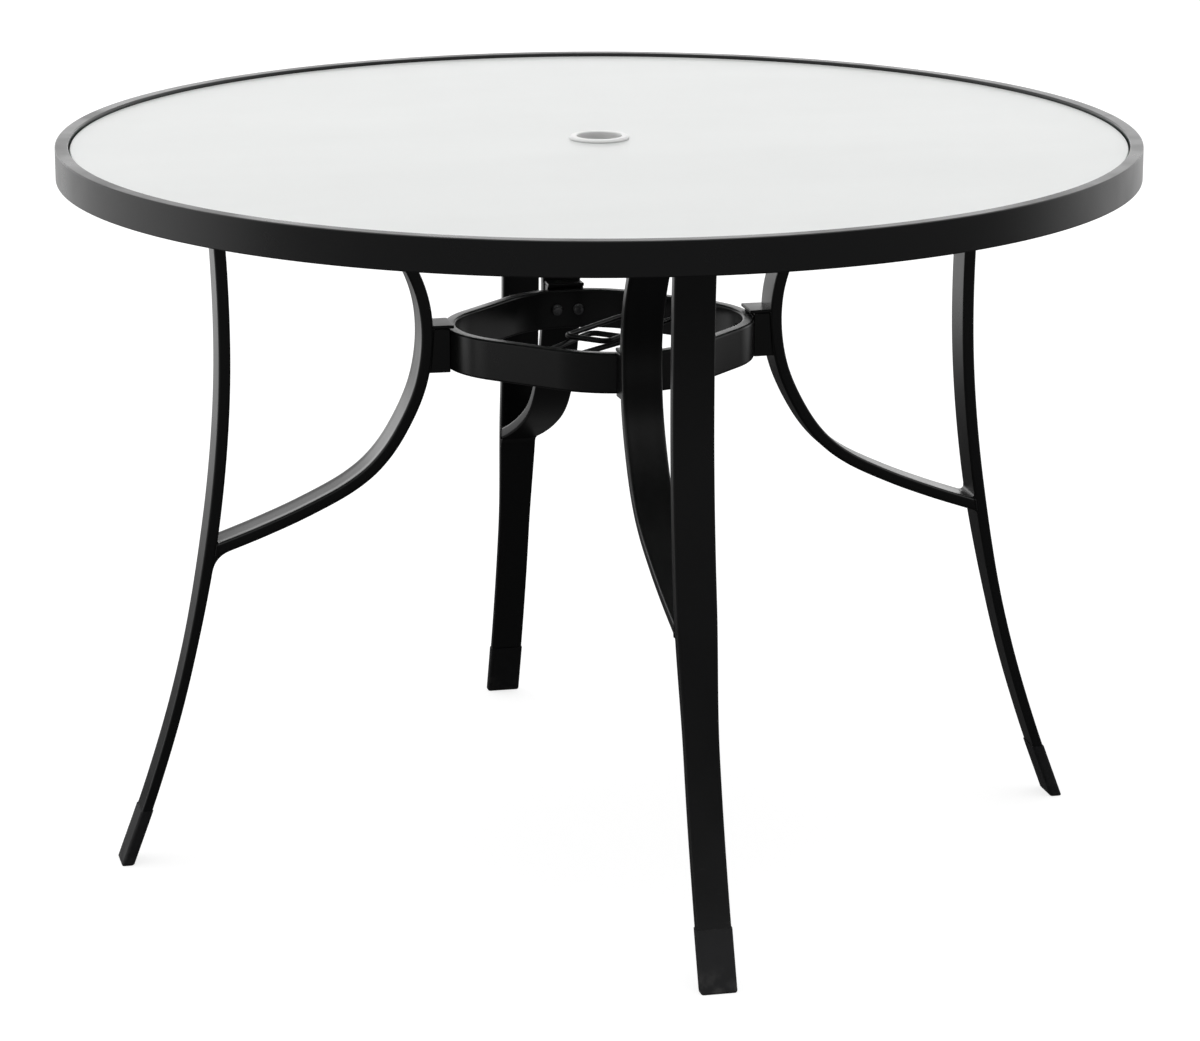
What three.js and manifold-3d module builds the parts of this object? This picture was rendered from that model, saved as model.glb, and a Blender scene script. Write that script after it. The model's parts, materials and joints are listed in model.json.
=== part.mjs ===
// Round patio table for an umbrella: a glass top in a metal rim, four splayed legs of flat
// tube with curved braces, and a hoop with two bent rods that steady the umbrella pole.
// Millimetres, +Z up. The origin is on the floor under the middle of the table.
// The front leg stands on -Y, the right leg on +X, the back leg on +Y, the left leg on -X.

import * as THREE from 'three';
import * as BufferGeometryUtils from 'three/addons/utils/BufferGeometryUtils.js';
import Module from 'manifold-3d';

const wasm = await Module();
wasm.setup();

// Overall size
const tableDiameter = 1067;
const tableHeight = 718;

// Clearances
const seatGap = 0.3;
const cutOverrun = 5;

// Rim: a rolled channel with a flat lip and a return at the bottom, and an angle ring inside it
// whose ledge carries the glass
const rimHeight = 33;
const rimLipWidth = 13;
const rimWall = 1.5;
const rimEdgeRadius = 1.2;
const rimLedgeWidth = 17;
const rimReturnWidth = 10;

// Glass top
const glassThickness = 5;
const glassDrop = 3.3;
const glassEdgeGap = 1.5;
const glassEdgeRadius = 1;
const glassHoleDiameter = 50;

// Umbrella ring, which snaps into the hole in the glass
const ringFlangeOverlap = 4.5;
const ringFlangeHeight = 3;
const ringCollarGap = 0.5;
const ringCollarWall = 2;
const ringSnapOverlap = 1.2;
const ringSnapHeight = 2.5;
const ringEdgeRadius = 1.2;

// Flat tube of the legs, braces, rails and hoop
const tubeWidth = 40;
const tubeDepth = 12;
const tubeWall = 1.2;
const tubeEdgeRadius = 2.5;

// Legs: the line runs up the middle of the tube, as shares of the leg's height and foot radius
const legFootRadius = 488;
const legFootWidth = 33.5;
const legFootDepth = 10.2;
const legTaperBottom = 205;
const legTaperTop = 350;
const legLineShares = [
  { height: -0.05, radius: 1.026 },
  { height: 0, radius: 1 },
  { height: 0.115, radius: 0.94 },
  { height: 0.244, radius: 0.883 },
  { height: 0.388, radius: 0.835 },
  { height: 0.546, radius: 0.798 },
  { height: 0.704, radius: 0.779 },
  { height: 0.863, radius: 0.78 },
  { height: 1, radius: 0.794 },
  { height: 1.05, radius: 0.802 },
];

// Foot caps: plastic sleeves on the lower ends of the legs
const footCapHeight = 56;
const footCapWall = 0.8;
const footCapFloor = 6;
const footCapCornerRadius = 3.5;

// Hoop: a square of upright flat tube with large round corners, which point at the legs
const hoopWidth = 280;
const hoopCornerRadius = 100;
const hoopHeightShare = 0.7364;

// Brackets from the hoop's corners to the braces
const bracketLength = 15.4;
const bracketHoopWidth = 38;
const bracketBraceWidth = 36;
const bracketSkirt = 2;
const bracketFlangeReach = 5.5;
const bracketFlangeThickness = 5.2;

// Braces: the reach goes from the bracket, at 0, out to the leg, at 1
const braceFootHeightShare = 0.46;
const braceLineShares = [
  { height: 0.4875, reach: 0.756 },
  { height: 0.514, reach: 0.552 },
  { height: 0.5465, reach: 0.35 },
  { height: 0.575, reach: 0.236 },
  { height: 0.617, reach: 0.135 },
  { height: 0.69, reach: 0.03 },
  { height: 0.769, reach: 0 },
  { height: 0.8355, reach: 0.041 },
  { height: 0.92, reach: 0.197 },
  { height: 1, reach: 0.413 },
  { height: 1.05, reach: 0.58 },
];

// Top rails: flat tubes under the glass, from inside the brace's top to the rim's ledge
const railInnerOverhang = 28;
const railRimGap = 10;

// Bolts
const boltDiameter = 6;
const boltHoleGap = 0.3;
const boltHeadDiameter = 13;
const boltHeadHeight = 4;
const hoopBoltSpacing = 22.5;
const hoopBoltBite = 7;
const rimBoltSpacing = 20;
const rimBoltInset = 8.5;

// Pads between the rails and the glass
const bumperDiameter = 16;
const bumperPlaceShares = [0.18, 0.72];

// Umbrella loops: two bent rods that leave a square hole for the pole
const rodDiameter = 5.7;
const loopRise = 2;
const loopWidth = 50;
const loopBendRadius = 9;
const loopRearWidth = 24;

// Smoothness
const rimSegments = 80;
const ringSegments = 24;
const boltSegments = 12;
const edgeArcSteps = 2;
const domeSteps = 2;
const hoopArcSteps = 8;
const rodSides = 8;
const rodArcSteps = 4;
const legSteps = 18;
const braceSteps = 24;
const curveSamples = 240;

// Heights that follow from the sizes above
const rimBottom = tableHeight - rimHeight;
const lipBottom = tableHeight - rimWall;
const glassTop = tableHeight - glassDrop;
const glassBottom = glassTop - glassThickness;
const ledgeTop = glassBottom - seatGap;
const ledgeBottom = ledgeTop - rimWall;
const railTop = ledgeBottom - seatGap;
const railBottom = railTop - tubeDepth;
const legHeight = railBottom - seatGap;
const hoopMiddleHeight = hoopHeightShare * legHeight;
const loopMiddleHeight = hoopMiddleHeight + loopRise;
const hoopBottom = hoopMiddleHeight - tubeWidth / 2;
const hoopTop = hoopMiddleHeight + tubeWidth / 2;

// Radii that follow from the sizes above
const rimRadius = tableDiameter / 2;
const lipInnerRadius = rimRadius - rimLipWidth;
const ledgeInnerRadius = lipInnerRadius - rimLedgeWidth;
const glassRadius = lipInnerRadius - glassEdgeGap;
const glassHoleRadius = glassHoleDiameter / 2;
const hoopCornerCentre = (hoopWidth / 2 - hoopCornerRadius) * Math.SQRT2;
const hoopCornerReach = hoopCornerCentre + hoopCornerRadius;
const hoopInnerHalf = hoopWidth / 2 - tubeDepth;
const hoopInnerRadius = hoopCornerRadius - tubeDepth;
const braceNeckRadius = hoopCornerReach + bracketLength + tubeDepth / 2;
const rimBoltRadius = lipInnerRadius - rimBoltInset;

// Materials
const powderCoat = new THREE.MeshStandardMaterial({ color: 0x1a1b1d, roughness: 0.45, metalness: 0.2 });
const paleGlass = new THREE.MeshStandardMaterial({ color: 0xe2e6e4, roughness: 0.2, metalness: 0 });
const whitePlastic = new THREE.MeshStandardMaterial({ color: 0xf2f2f0, roughness: 0.5, metalness: 0 });
const blackPlastic = new THREE.MeshStandardMaterial({ color: 0x141415, roughness: 0.6, metalness: 0 });
const blackSteel = new THREE.MeshStandardMaterial({ color: 0x202124, roughness: 0.4, metalness: 0.6 });
const softVinyl = new THREE.MeshStandardMaterial({ color: 0xc9cccb, roughness: 0.5, metalness: 0 });

// Closed meshes to solids for cutting, and back again

function toSolid(geometry) {
  const bare = geometry.clone();
  bare.deleteAttribute('normal');
  bare.deleteAttribute('uv');
  const merged = BufferGeometryUtils.mergeVertices(bare);
  return new wasm.Manifold(new wasm.Mesh({
    numProp: 3,
    vertProperties: new Float32Array(merged.attributes.position.array),
    triVerts: new Uint32Array(merged.index.array),
  }));
}

function toGeometry(solid) {
  const cut = solid.getMesh();
  const geometry = new THREE.BufferGeometry();
  geometry.setAttribute('position', new THREE.BufferAttribute(cut.vertProperties, 3));
  geometry.setIndex(new THREE.BufferAttribute(cut.triVerts, 1));
  geometry.computeVertexNormals();
  return geometry;
}

// Outlines

// Points of an outline whose corners, given as x, y and radius, are rounded by arcs
function roundedPoints(corners, arcSteps) {
  const points = [];
  corners.forEach(([x, y, radius], index) => {
    const corner = new THREE.Vector2(x, y);
    if (radius === 0) {
      points.push(corner);
      return;
    }
    const [beforeX, beforeY] = corners.at(index - 1);
    const [afterX, afterY] = corners[(index + 1) % corners.length];
    const before = new THREE.Vector2(beforeX, beforeY).sub(corner).normalize();
    const after = new THREE.Vector2(afterX, afterY).sub(corner).normalize();
    const halfAngle = Math.acos(before.dot(after)) / 2;
    const turn = Math.sign(after.cross(before)) * (Math.PI - 2 * halfAngle);
    const middle = before.clone().add(after).normalize();
    const centre = middle.multiplyScalar(radius / Math.sin(halfAngle)).add(corner);
    const start = before.multiplyScalar(radius / Math.tan(halfAngle)).add(corner);
    for (let step = 0; step <= arcSteps; step += 1) {
      points.push(start.clone().rotateAround(centre, turn * step / arcSteps));
    }
  });
  return points;
}

function roundedRectangle(width, height, radius, arcSteps) {
  const x = width / 2;
  const y = height / 2;
  return roundedPoints([[x, -y, radius], [x, y, radius], [-x, y, radius], [-x, -y, radius]], arcSteps);
}

// Section of the flat tube, thicker all round by grow, hollow where a wall is given
function tubeSection(grow, wall) {
  const width = tubeWidth + 2 * grow;
  const depth = tubeDepth + 2 * grow;
  const section = new THREE.Shape(roundedRectangle(width, depth, tubeEdgeRadius + grow, edgeArcSteps));
  if (wall > 0) {
    const hollow = roundedRectangle(width - 2 * wall, depth - 2 * wall, 0, edgeArcSteps);
    section.holes.push(new THREE.Path(hollow));
  }
  return section;
}

// Solids of revolution about Z, from outlines of radius and height

function turnedRing(outline, segments) {
  return new THREE.LatheGeometry([...outline, outline[0]], segments).rotateX(Math.PI / 2);
}

function turnedSolid(outline, segments) {
  return new THREE.LatheGeometry(outline, segments).rotateX(Math.PI / 2);
}

// Straight solids

function blockBetween(low, high) {
  const size = high.clone().sub(low);
  const middle = low.clone().add(high).multiplyScalar(1 / 2);
  return new THREE.BoxGeometry(size.x, size.y, size.z).translate(middle.x, middle.y, middle.z);
}

// The space between two heights, wide enough to hold the whole table
function layer(bottom, top) {
  const low = new THREE.Vector3(-tableDiameter, -tableDiameter, bottom);
  const high = new THREE.Vector3(tableDiameter, tableDiameter, top);
  return toSolid(blockBetween(low, high));
}

// An outline of x and y drawn up along Z
function upright(shape, bottom, height) {
  return new THREE.ExtrudeGeometry(shape, { depth: height, bevelEnabled: false }).translate(0, 0, bottom);
}

// An outline of y and z drawn out along X
function drawnOut(shape, start, length) {
  const axes = new THREE.Matrix4().makeBasis(
    new THREE.Vector3(0, 1, 0),
    new THREE.Vector3(0, 0, 1),
    new THREE.Vector3(1, 0, 0),
  );
  const geometry = new THREE.ExtrudeGeometry(shape, { depth: length, bevelEnabled: false });
  return geometry.applyMatrix4(axes).translate(start, 0, 0);
}

// An outline of x and z drawn across Y, half to each side
function drawnAcross(shape, width) {
  const geometry = new THREE.ExtrudeGeometry(shape, { depth: width, bevelEnabled: false });
  return geometry.rotateX(Math.PI / 2).translate(0, width / 2, 0);
}

// Lines that the bent tubes follow, all in the XZ plane with X pointing outwards

function lineThrough(places) {
  const points = places.map(({ radius, height }) => new THREE.Vector3(radius, 0, height));
  return new THREE.CatmullRomCurve3(points, false, 'centripetal');
}

function radiusAtHeight(line, height) {
  const points = line.getPoints(curveSamples);
  const next = points.findIndex((point) => point.z >= height);
  const below = points[next - 1];
  const above = points[next];
  return THREE.MathUtils.mapLinear(height, below.z, above.z, below.x, above.x);
}

const legLine = lineThrough(legLineShares.map((share) => ({
  radius: share.radius * legFootRadius,
  height: share.height * legHeight,
})));

const braceFootHeight = braceFootHeightShare * legHeight;
const braceFootRadius = radiusAtHeight(legLine, braceFootHeight);

const braceLine = lineThrough([
  { radius: braceFootRadius, height: braceFootHeight },
  ...braceLineShares.map((share) => ({
    radius: THREE.MathUtils.lerp(braceNeckRadius, braceFootRadius, share.reach),
    height: share.height * legHeight,
  })),
]);

// Bent flat tube, which has at each height the width and depth that the leg has there
function bentTube(section, line, steps) {
  const geometry = new THREE.ExtrudeGeometry(section, { steps, bevelEnabled: false, extrudePath: line });
  const stations = line.getSpacedPoints(steps);
  const position = geometry.attributes.position;
  const place = new THREE.Vector3();
  for (let index = 0; index < position.count; index += 1) {
    place.fromBufferAttribute(position, index);
    const distances = stations.map(({ x, z }) => Math.hypot(place.x - x, place.z - z));
    const middle = stations[distances.indexOf(Math.min(...distances))];
    const upwards = THREE.MathUtils.smoothstep(middle.z, legTaperBottom, legTaperTop);
    const widthShare = THREE.MathUtils.lerp(legFootWidth / tubeWidth, 1, upwards);
    const depthShare = THREE.MathUtils.lerp(legFootDepth / tubeDepth, 1, upwards);
    place.sub(middle).multiply(new THREE.Vector3(depthShare, widthShare, depthShare)).add(middle);
    position.setXYZ(index, place.x, place.y, place.z);
  }
  return toSolid(geometry);
}

// Legs and foot caps

function makeLeg() {
  const tube = bentTube(tubeSection(0, tubeWall), legLine, legSteps);
  return toGeometry(tube.intersect(layer(footCapFloor, legHeight)));
}

function makeFootCap() {
  const sleeve = bentTube(tubeSection(seatGap + footCapWall, 0), legLine, legSteps);
  const legRoom = bentTube(tubeSection(seatGap, 0), legLine, legSteps);
  const room = legRoom.intersect(layer(footCapFloor - seatGap, footCapHeight + cutOverrun));
  const capWidth = legFootWidth + 2 * (seatGap + footCapWall);
  const outline = new THREE.Shape(roundedPoints([
    [capWidth / 2 + cutOverrun, footCapHeight, 0],
    [-capWidth / 2 - cutOverrun, footCapHeight, 0],
    [-capWidth / 2 - cutOverrun, footCapCornerRadius + cutOverrun, 0],
    [-capWidth / 2, footCapCornerRadius + cutOverrun, 0],
    [-capWidth / 2, 0, footCapCornerRadius],
    [capWidth / 2, 0, footCapCornerRadius],
    [capWidth / 2, footCapCornerRadius + cutOverrun, 0],
    [capWidth / 2 + cutOverrun, footCapCornerRadius + cutOverrun, 0],
  ], edgeArcSteps));
  const envelope = toSolid(drawnOut(outline, 0, 2 * legFootRadius));
  return toGeometry(sleeve.intersect(envelope).subtract(room));
}

// Braces, coped to the inner faces of the legs

function makeBrace() {
  const tube = bentTube(tubeSection(0, tubeWall), braceLine, braceSteps);
  const legRoom = bentTube(tubeSection(seatGap, 0), legLine, legSteps);
  return toGeometry(tube.intersect(layer(0, legHeight)).subtract(legRoom));
}

// Top rails, closed at the inner end and open under the rim

const railInnerRadius = radiusAtHeight(braceLine, legHeight) - railInnerOverhang;
const railOuterRadius = rimRadius - rimWall - railRimGap;
const railLength = railOuterRadius - railInnerRadius;

function rimBoltPlaces() {
  return [-1, 1].map((side) => new THREE.Vector3(rimBoltRadius, side * rimBoltSpacing / 2, 0));
}

function boltHole(length) {
  const radius = boltDiameter / 2 + boltHoleGap;
  return new THREE.CylinderGeometry(radius, radius, length, boltSegments).rotateX(Math.PI / 2);
}

function makeTopRail() {
  const middle = railTop - tubeDepth / 2;
  const outside = drawnOut(tubeSection(0, 0), railInnerRadius, railLength).translate(0, 0, middle);
  const bore = new THREE.Shape(roundedRectangle(tubeWidth - 2 * tubeWall, tubeDepth - 2 * tubeWall, 0, 1));
  const inside = drawnOut(bore, railInnerRadius + tubeWall, railLength).translate(0, 0, middle);
  let rail = toSolid(outside).subtract(toSolid(inside));
  rimBoltPlaces().forEach(({ x, y }) => {
    rail = rail.subtract(toSolid(boltHole(tubeDepth + cutOverrun).translate(x, y, middle)));
  });
  return toGeometry(rail);
}

function makeBumper() {
  const height = glassBottom - railTop - 2 * seatGap;
  const radius = bumperDiameter / 2;
  return new THREE.CylinderGeometry(radius, radius, height, boltSegments)
    .rotateX(Math.PI / 2)
    .translate(0, 0, (railTop + glassBottom) / 2);
}

// Domed bolt along Z, with the underside of its head at 0 and its shank above
function makeBolt(length) {
  const headRadius = boltHeadDiameter / 2;
  const domeRadius = (headRadius ** 2 + boltHeadHeight ** 2) / (2 * boltHeadHeight);
  const domeAngle = Math.asin(headRadius / domeRadius);
  const outline = [];
  for (let step = 0; step <= domeSteps; step += 1) {
    const angle = domeAngle * step / domeSteps;
    const height = domeRadius * (1 - Math.cos(angle)) - boltHeadHeight;
    outline.push(new THREE.Vector2(domeRadius * Math.sin(angle), height));
  }
  outline.push(new THREE.Vector2(boltDiameter / 2, 0));
  outline.push(new THREE.Vector2(boltDiameter / 2, length));
  outline.push(new THREE.Vector2(0, length));
  return turnedSolid(outline, boltSegments);
}

// Rim: a channel, open inwards, with the lip on top

function makeRim() {
  return turnedRing(roundedPoints([
    [rimRadius, rimBottom, rimEdgeRadius],
    [rimRadius, tableHeight, rimEdgeRadius],
    [lipInnerRadius, tableHeight, rimEdgeRadius],
    [lipInnerRadius, lipBottom, 0],
    [rimRadius - rimWall, lipBottom, 0],
    [rimRadius - rimWall, rimBottom + rimWall, 0],
    [rimRadius - rimReturnWidth, rimBottom + rimWall, 0],
    [rimRadius - rimReturnWidth, rimBottom, 0],
  ], edgeArcSteps), rimSegments);
}

// Ledge: an angle ring under the lip that the glass lies on, with holes for the rail bolts

function makeLedge() {
  const outline = roundedPoints([
    [lipInnerRadius + rimWall, ledgeBottom, 0],
    [lipInnerRadius + rimWall, lipBottom - seatGap, 0],
    [lipInnerRadius, lipBottom - seatGap, 0],
    [lipInnerRadius, ledgeTop, 0],
    [ledgeInnerRadius, ledgeTop, 0],
    [ledgeInnerRadius, ledgeBottom, 0],
  ], edgeArcSteps);
  let ledge = toSolid(turnedRing(outline, rimSegments));
  const ledgeMiddle = (ledgeTop + ledgeBottom) / 2;
  sides.forEach(({ turn }) => {
    rimBoltPlaces().forEach(({ x, y }) => {
      const hole = boltHole(rimWall + cutOverrun).translate(x, y, ledgeMiddle).rotateZ(turn);
      ledge = ledge.subtract(toSolid(hole));
    });
  });
  return toGeometry(ledge);
}

// Glass top and the ring in its hole

function makeGlass() {
  const outline = roundedPoints([
    [glassRadius, glassBottom, 0],
    [glassRadius, glassTop, glassEdgeRadius],
    [glassHoleRadius, glassTop, glassEdgeRadius],
    [glassHoleRadius, glassBottom, 0],
  ], edgeArcSteps);
  return turnedRing(outline, rimSegments);
}

function makeUmbrellaRing() {
  const collarRadius = glassHoleRadius - ringCollarGap;
  const boreRadius = collarRadius - ringCollarWall;
  const snapRadius = glassHoleRadius + ringSnapOverlap;
  const snapTop = glassBottom - seatGap;
  const flangeRadius = glassHoleRadius + ringFlangeOverlap;
  const flangeBottom = glassTop + seatGap;
  const flangeTop = flangeBottom + ringFlangeHeight;
  return turnedRing(roundedPoints([
    [boreRadius, snapTop - ringSnapHeight, 0],
    [collarRadius, snapTop - ringSnapHeight, 0],
    [snapRadius, snapTop, 0],
    [collarRadius, snapTop, 0],
    [collarRadius, flangeBottom, 0],
    [flangeRadius, flangeBottom, 0],
    [flangeRadius, flangeTop, ringEdgeRadius],
    [boreRadius, flangeTop, ringEdgeRadius],
  ], edgeArcSteps), ringSegments);
}

// Hoop, hollow, with two bolt holes through each corner. Its own axes lie between the legs,
// so its outline is drawn square to X and Y and turned by an eighth of a turn.

function hoopOutline(grow) {
  const width = hoopWidth + 2 * grow;
  return roundedRectangle(width, width, hoopCornerRadius + grow, hoopArcSteps);
}

// A section carried round the hoop: its x is how far out of the hoop's face, its y the height
function hoopTube(section) {
  const stations = hoopOutline(0).length;
  const outline = [...section, section[0]];
  const geometry = new THREE.LatheGeometry(outline, stations);
  outline.forEach(({ x: grow, y: height }, index) => {
    const route = hoopOutline(grow);
    for (let station = 0; station <= stations; station += 1) {
      const place = route[station % stations];
      const vertex = station * outline.length + index;
      geometry.attributes.position.setXYZ(vertex, place.x, place.y, height);
    }
  });
  return toSolid(geometry.rotateZ(Math.PI / 4));
}

// Bolts fan out from the centre of the corner's bend. Their flat heads clear the bend's facets,
// whose middles lie nearest to that centre.
const hoopBoltFan = Math.asin(hoopBoltSpacing / 2 / hoopInnerRadius);
const hoopFacetRadius = hoopInnerRadius * Math.cos(Math.PI / 4 / hoopArcSteps);
const hoopBoltSeat = Math.sqrt(hoopFacetRadius ** 2 - (boltHeadDiameter / 2) ** 2) - seatGap;
const hoopBoltLength = hoopCornerRadius + hoopBoltBite - hoopBoltSeat;

function hoopBoltHoles(length) {
  return [-1, 1].map((side) => {
    const hole = boltHole(length).rotateY(Math.PI / 2).translate(hoopCornerRadius, 0, hoopMiddleHeight);
    return toSolid(hole.rotateZ(side * hoopBoltFan).translate(hoopCornerCentre, 0, 0));
  });
}

function makeHoop() {
  const outside = roundedPoints([
    [0, hoopBottom, tubeEdgeRadius],
    [0, hoopTop, tubeEdgeRadius],
    [-tubeDepth, hoopTop, tubeEdgeRadius],
    [-tubeDepth, hoopBottom, tubeEdgeRadius],
  ], edgeArcSteps);
  const inside = roundedPoints([
    [-tubeWall, hoopBottom + tubeWall, 0],
    [-tubeWall, hoopTop - tubeWall, 0],
    [tubeWall - tubeDepth, hoopTop - tubeWall, 0],
    [tubeWall - tubeDepth, hoopBottom + tubeWall, 0],
  ], edgeArcSteps);
  let hoop = hoopTube(outside).subtract(hoopTube(inside));
  sides.forEach(({ turn }) => {
    hoopBoltHoles(2 * tubeDepth + cutOverrun).forEach((hole) => {
      hoop = hoop.subtract(hole.rotate([0, 0, THREE.MathUtils.radToDeg(turn)]));
    });
  });
  return toGeometry(hoop);
}

// Brackets: a block between the hoop and the brace, with a flange over the hoop's top edge

function makeBracket() {
  const flangeStart = hoopCornerReach - bracketFlangeReach;
  const blockStart = hoopCornerReach - bracketFlangeReach / 2;
  const flangeBottom = hoopTop + seatGap;
  const flangeTop = flangeBottom + bracketFlangeThickness;
  const blockBottom = hoopBottom - bracketSkirt;
  const sideView = new THREE.Shape(roundedPoints([
    [flangeStart, flangeBottom, 0],
    [blockStart, flangeBottom, 0],
    [blockStart, blockBottom, 0],
    [braceNeckRadius, blockBottom, 0],
    [braceNeckRadius, flangeTop, 0],
    [flangeStart, flangeTop, 0],
  ], edgeArcSteps));
  const hoopHalf = bracketHoopWidth / 2;
  const braceHalf = bracketBraceWidth / 2;
  const planView = new THREE.Shape(roundedPoints([
    [flangeStart, -hoopHalf, 0],
    [hoopCornerReach, -hoopHalf, 0],
    [braceNeckRadius, -braceHalf, 0],
    [braceNeckRadius, braceHalf, 0],
    [hoopCornerReach, hoopHalf, 0],
    [flangeStart, hoopHalf, 0],
  ], edgeArcSteps));
  const side = toSolid(drawnAcross(sideView, 2 * bracketHoopWidth));
  const roomBottom = blockBottom - cutOverrun;
  const plan = toSolid(upright(planView, roomBottom, flangeTop + cutOverrun - roomBottom));
  const roomShape = new THREE.Shape(hoopOutline(seatGap));
  const hoopRoom = toSolid(upright(roomShape, roomBottom, flangeBottom - roomBottom).rotateZ(Math.PI / 4));
  const braceRoom = bentTube(tubeSection(seatGap, 0), braceLine, braceSteps);
  let bracket = side.intersect(plan).subtract(hoopRoom).subtract(braceRoom);
  hoopBoltHoles(2 * (hoopBoltBite + seatGap)).forEach((hole) => {
    bracket = bracket.subtract(hole);
  });
  return toGeometry(bracket);
}

// Umbrella loops

// Follows given points, one step each, so that a bend keeps its shape
class PointLine extends THREE.Curve {
  constructor(points) {
    super();
    this.points = points;
  }

  getPointAt(share) {
    return this.points[Math.round(share * (this.points.length - 1))].clone();
  }

  getTangentAt(share) {
    const index = Math.round(share * (this.points.length - 1));
    const before = this.points[Math.max(index - 1, 0)];
    const after = this.points[Math.min(index + 1, this.points.length - 1)];
    return after.clone().sub(before).normalize();
  }
}

// A rod bent to a loop: its closed end past the middle, its open end on the hoop
function makeLoop(openWidth) {
  const openEnd = hoopInnerHalf - seatGap;
  const closedEnd = loopWidth / 2;
  const past = openEnd + cutOverrun;
  const corners = [
    [past, -openWidth / 2, 0],
    [past, openWidth / 2, 0],
    [-closedEnd, loopWidth / 2, loopBendRadius],
    [-closedEnd, -loopWidth / 2, loopBendRadius],
  ];
  const outline = roundedPoints(corners, rodArcSteps);
  const route = [...outline.slice(1), outline[0]];
  const line = new PointLine(route.map(({ x, y }) => new THREE.Vector3(x, y, 0)));
  const section = new THREE.Shape();
  section.absarc(0, 0, rodDiameter / 2, 0, 2 * Math.PI);
  const rod = new THREE.ExtrudeGeometry(section, {
    steps: route.length - 1,
    curveSegments: rodSides,
    bevelEnabled: false,
    extrudePath: line,
  });
  const low = new THREE.Vector3(-openEnd, -hoopWidth, -rodDiameter);
  const high = new THREE.Vector3(openEnd, hoopWidth, rodDiameter);
  return toGeometry(toSolid(rod).intersect(toSolid(blockBetween(low, high))));
}

// Assembly

const sides = [
  { side: 'front', turn: -Math.PI / 2 },
  { side: 'right', turn: 0 },
  { side: 'back', turn: Math.PI / 2 },
  { side: 'left', turn: Math.PI },
];

function named(name, geometry, material) {
  const mesh = new THREE.Mesh(geometry, material);
  mesh.name = name;
  return mesh;
}

const table = new THREE.Group();
table.add(named('table_rim', makeRim(), powderCoat));
table.add(named('glass_ledge', makeLedge(), powderCoat));
table.add(named('glass_top', makeGlass(), paleGlass));
table.add(named('umbrella_ring', makeUmbrellaRing(), whitePlastic));
table.add(named('hoop', makeHoop(), powderCoat));

const loopStep = (rodDiameter + seatGap) / 2;

const upperLoop = named('umbrella_loop_upper', makeLoop(loopWidth), powderCoat);
upperLoop.position.z = loopMiddleHeight + loopStep;
upperLoop.rotation.z = Math.PI / 4;
table.add(upperLoop);

const lowerLoop = named('umbrella_loop_lower', makeLoop(loopRearWidth), powderCoat);
lowerLoop.position.z = loopMiddleHeight - loopStep;
lowerLoop.rotation.z = Math.PI / 4 + Math.PI;
table.add(lowerLoop);

const legGeometry = makeLeg();
const footCapGeometry = makeFootCap();
const braceGeometry = makeBrace();
const bracketGeometry = makeBracket();
const railGeometry = makeTopRail();
const bumperGeometry = makeBumper();
const hoopBoltGeometry = makeBolt(hoopBoltLength).rotateY(Math.PI / 2);
const rimBoltGeometry = makeBolt(ledgeTop - railBottom + seatGap);

sides.forEach(({ side, turn }) => {
  const quarter = new THREE.Group();
  quarter.rotation.z = turn;
  quarter.add(named(`leg_${side}`, legGeometry, powderCoat));
  quarter.add(named(`foot_cap_${side}`, footCapGeometry, blackPlastic));
  quarter.add(named(`brace_${side}`, braceGeometry, powderCoat));
  quarter.add(named(`hoop_bracket_${side}`, bracketGeometry, powderCoat));
  quarter.add(named(`top_rail_${side}`, railGeometry, powderCoat));

  bumperPlaceShares.forEach((share, index) => {
    const bumper = named(`glass_bumper_${side}_${index + 1}`, bumperGeometry, softVinyl);
    bumper.position.x = railInnerRadius + share * railLength;
    quarter.add(bumper);
  });

  rimBoltPlaces().forEach(({ x, y }, index) => {
    const bolt = named(`rim_bolt_${side}_${index + 1}`, rimBoltGeometry, blackSteel);
    bolt.position.set(x, y, railBottom - seatGap);
    quarter.add(bolt);
  });

  [-1, 1].forEach((hand, index) => {
    const bolt = named(`hoop_bolt_${side}_${index + 1}`, hoopBoltGeometry, blackSteel);
    const angle = hand * hoopBoltFan;
    const x = hoopCornerCentre + hoopBoltSeat * Math.cos(angle);
    bolt.position.set(x, hoopBoltSeat * Math.sin(angle), hoopMiddleHeight);
    bolt.rotation.z = angle;
    quarter.add(bolt);
  });

  table.add(quarter);
});

export default table;
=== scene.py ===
# Looks of a round patio table for an umbrella, built round its packed parts.
# Metres, +Z up. The front leg stands on -Y, the right leg on +X, the back leg on +Y, the left on -X.
# Repeated pieces are made for the right leg, on +X, and turned to the four sides.

import json
from math import asin, cos, pi, radians, sin, sqrt, tau

import bmesh
import bpy
from bmesh.types import BMEdge, BMFace, BMVert
from bpy.props import FloatProperty, FloatVectorProperty, IntProperty, PointerProperty
from mathutils import Matrix, Vector
from mathutils.geometry import interpolate_bezier, intersect_line_line_2d


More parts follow.
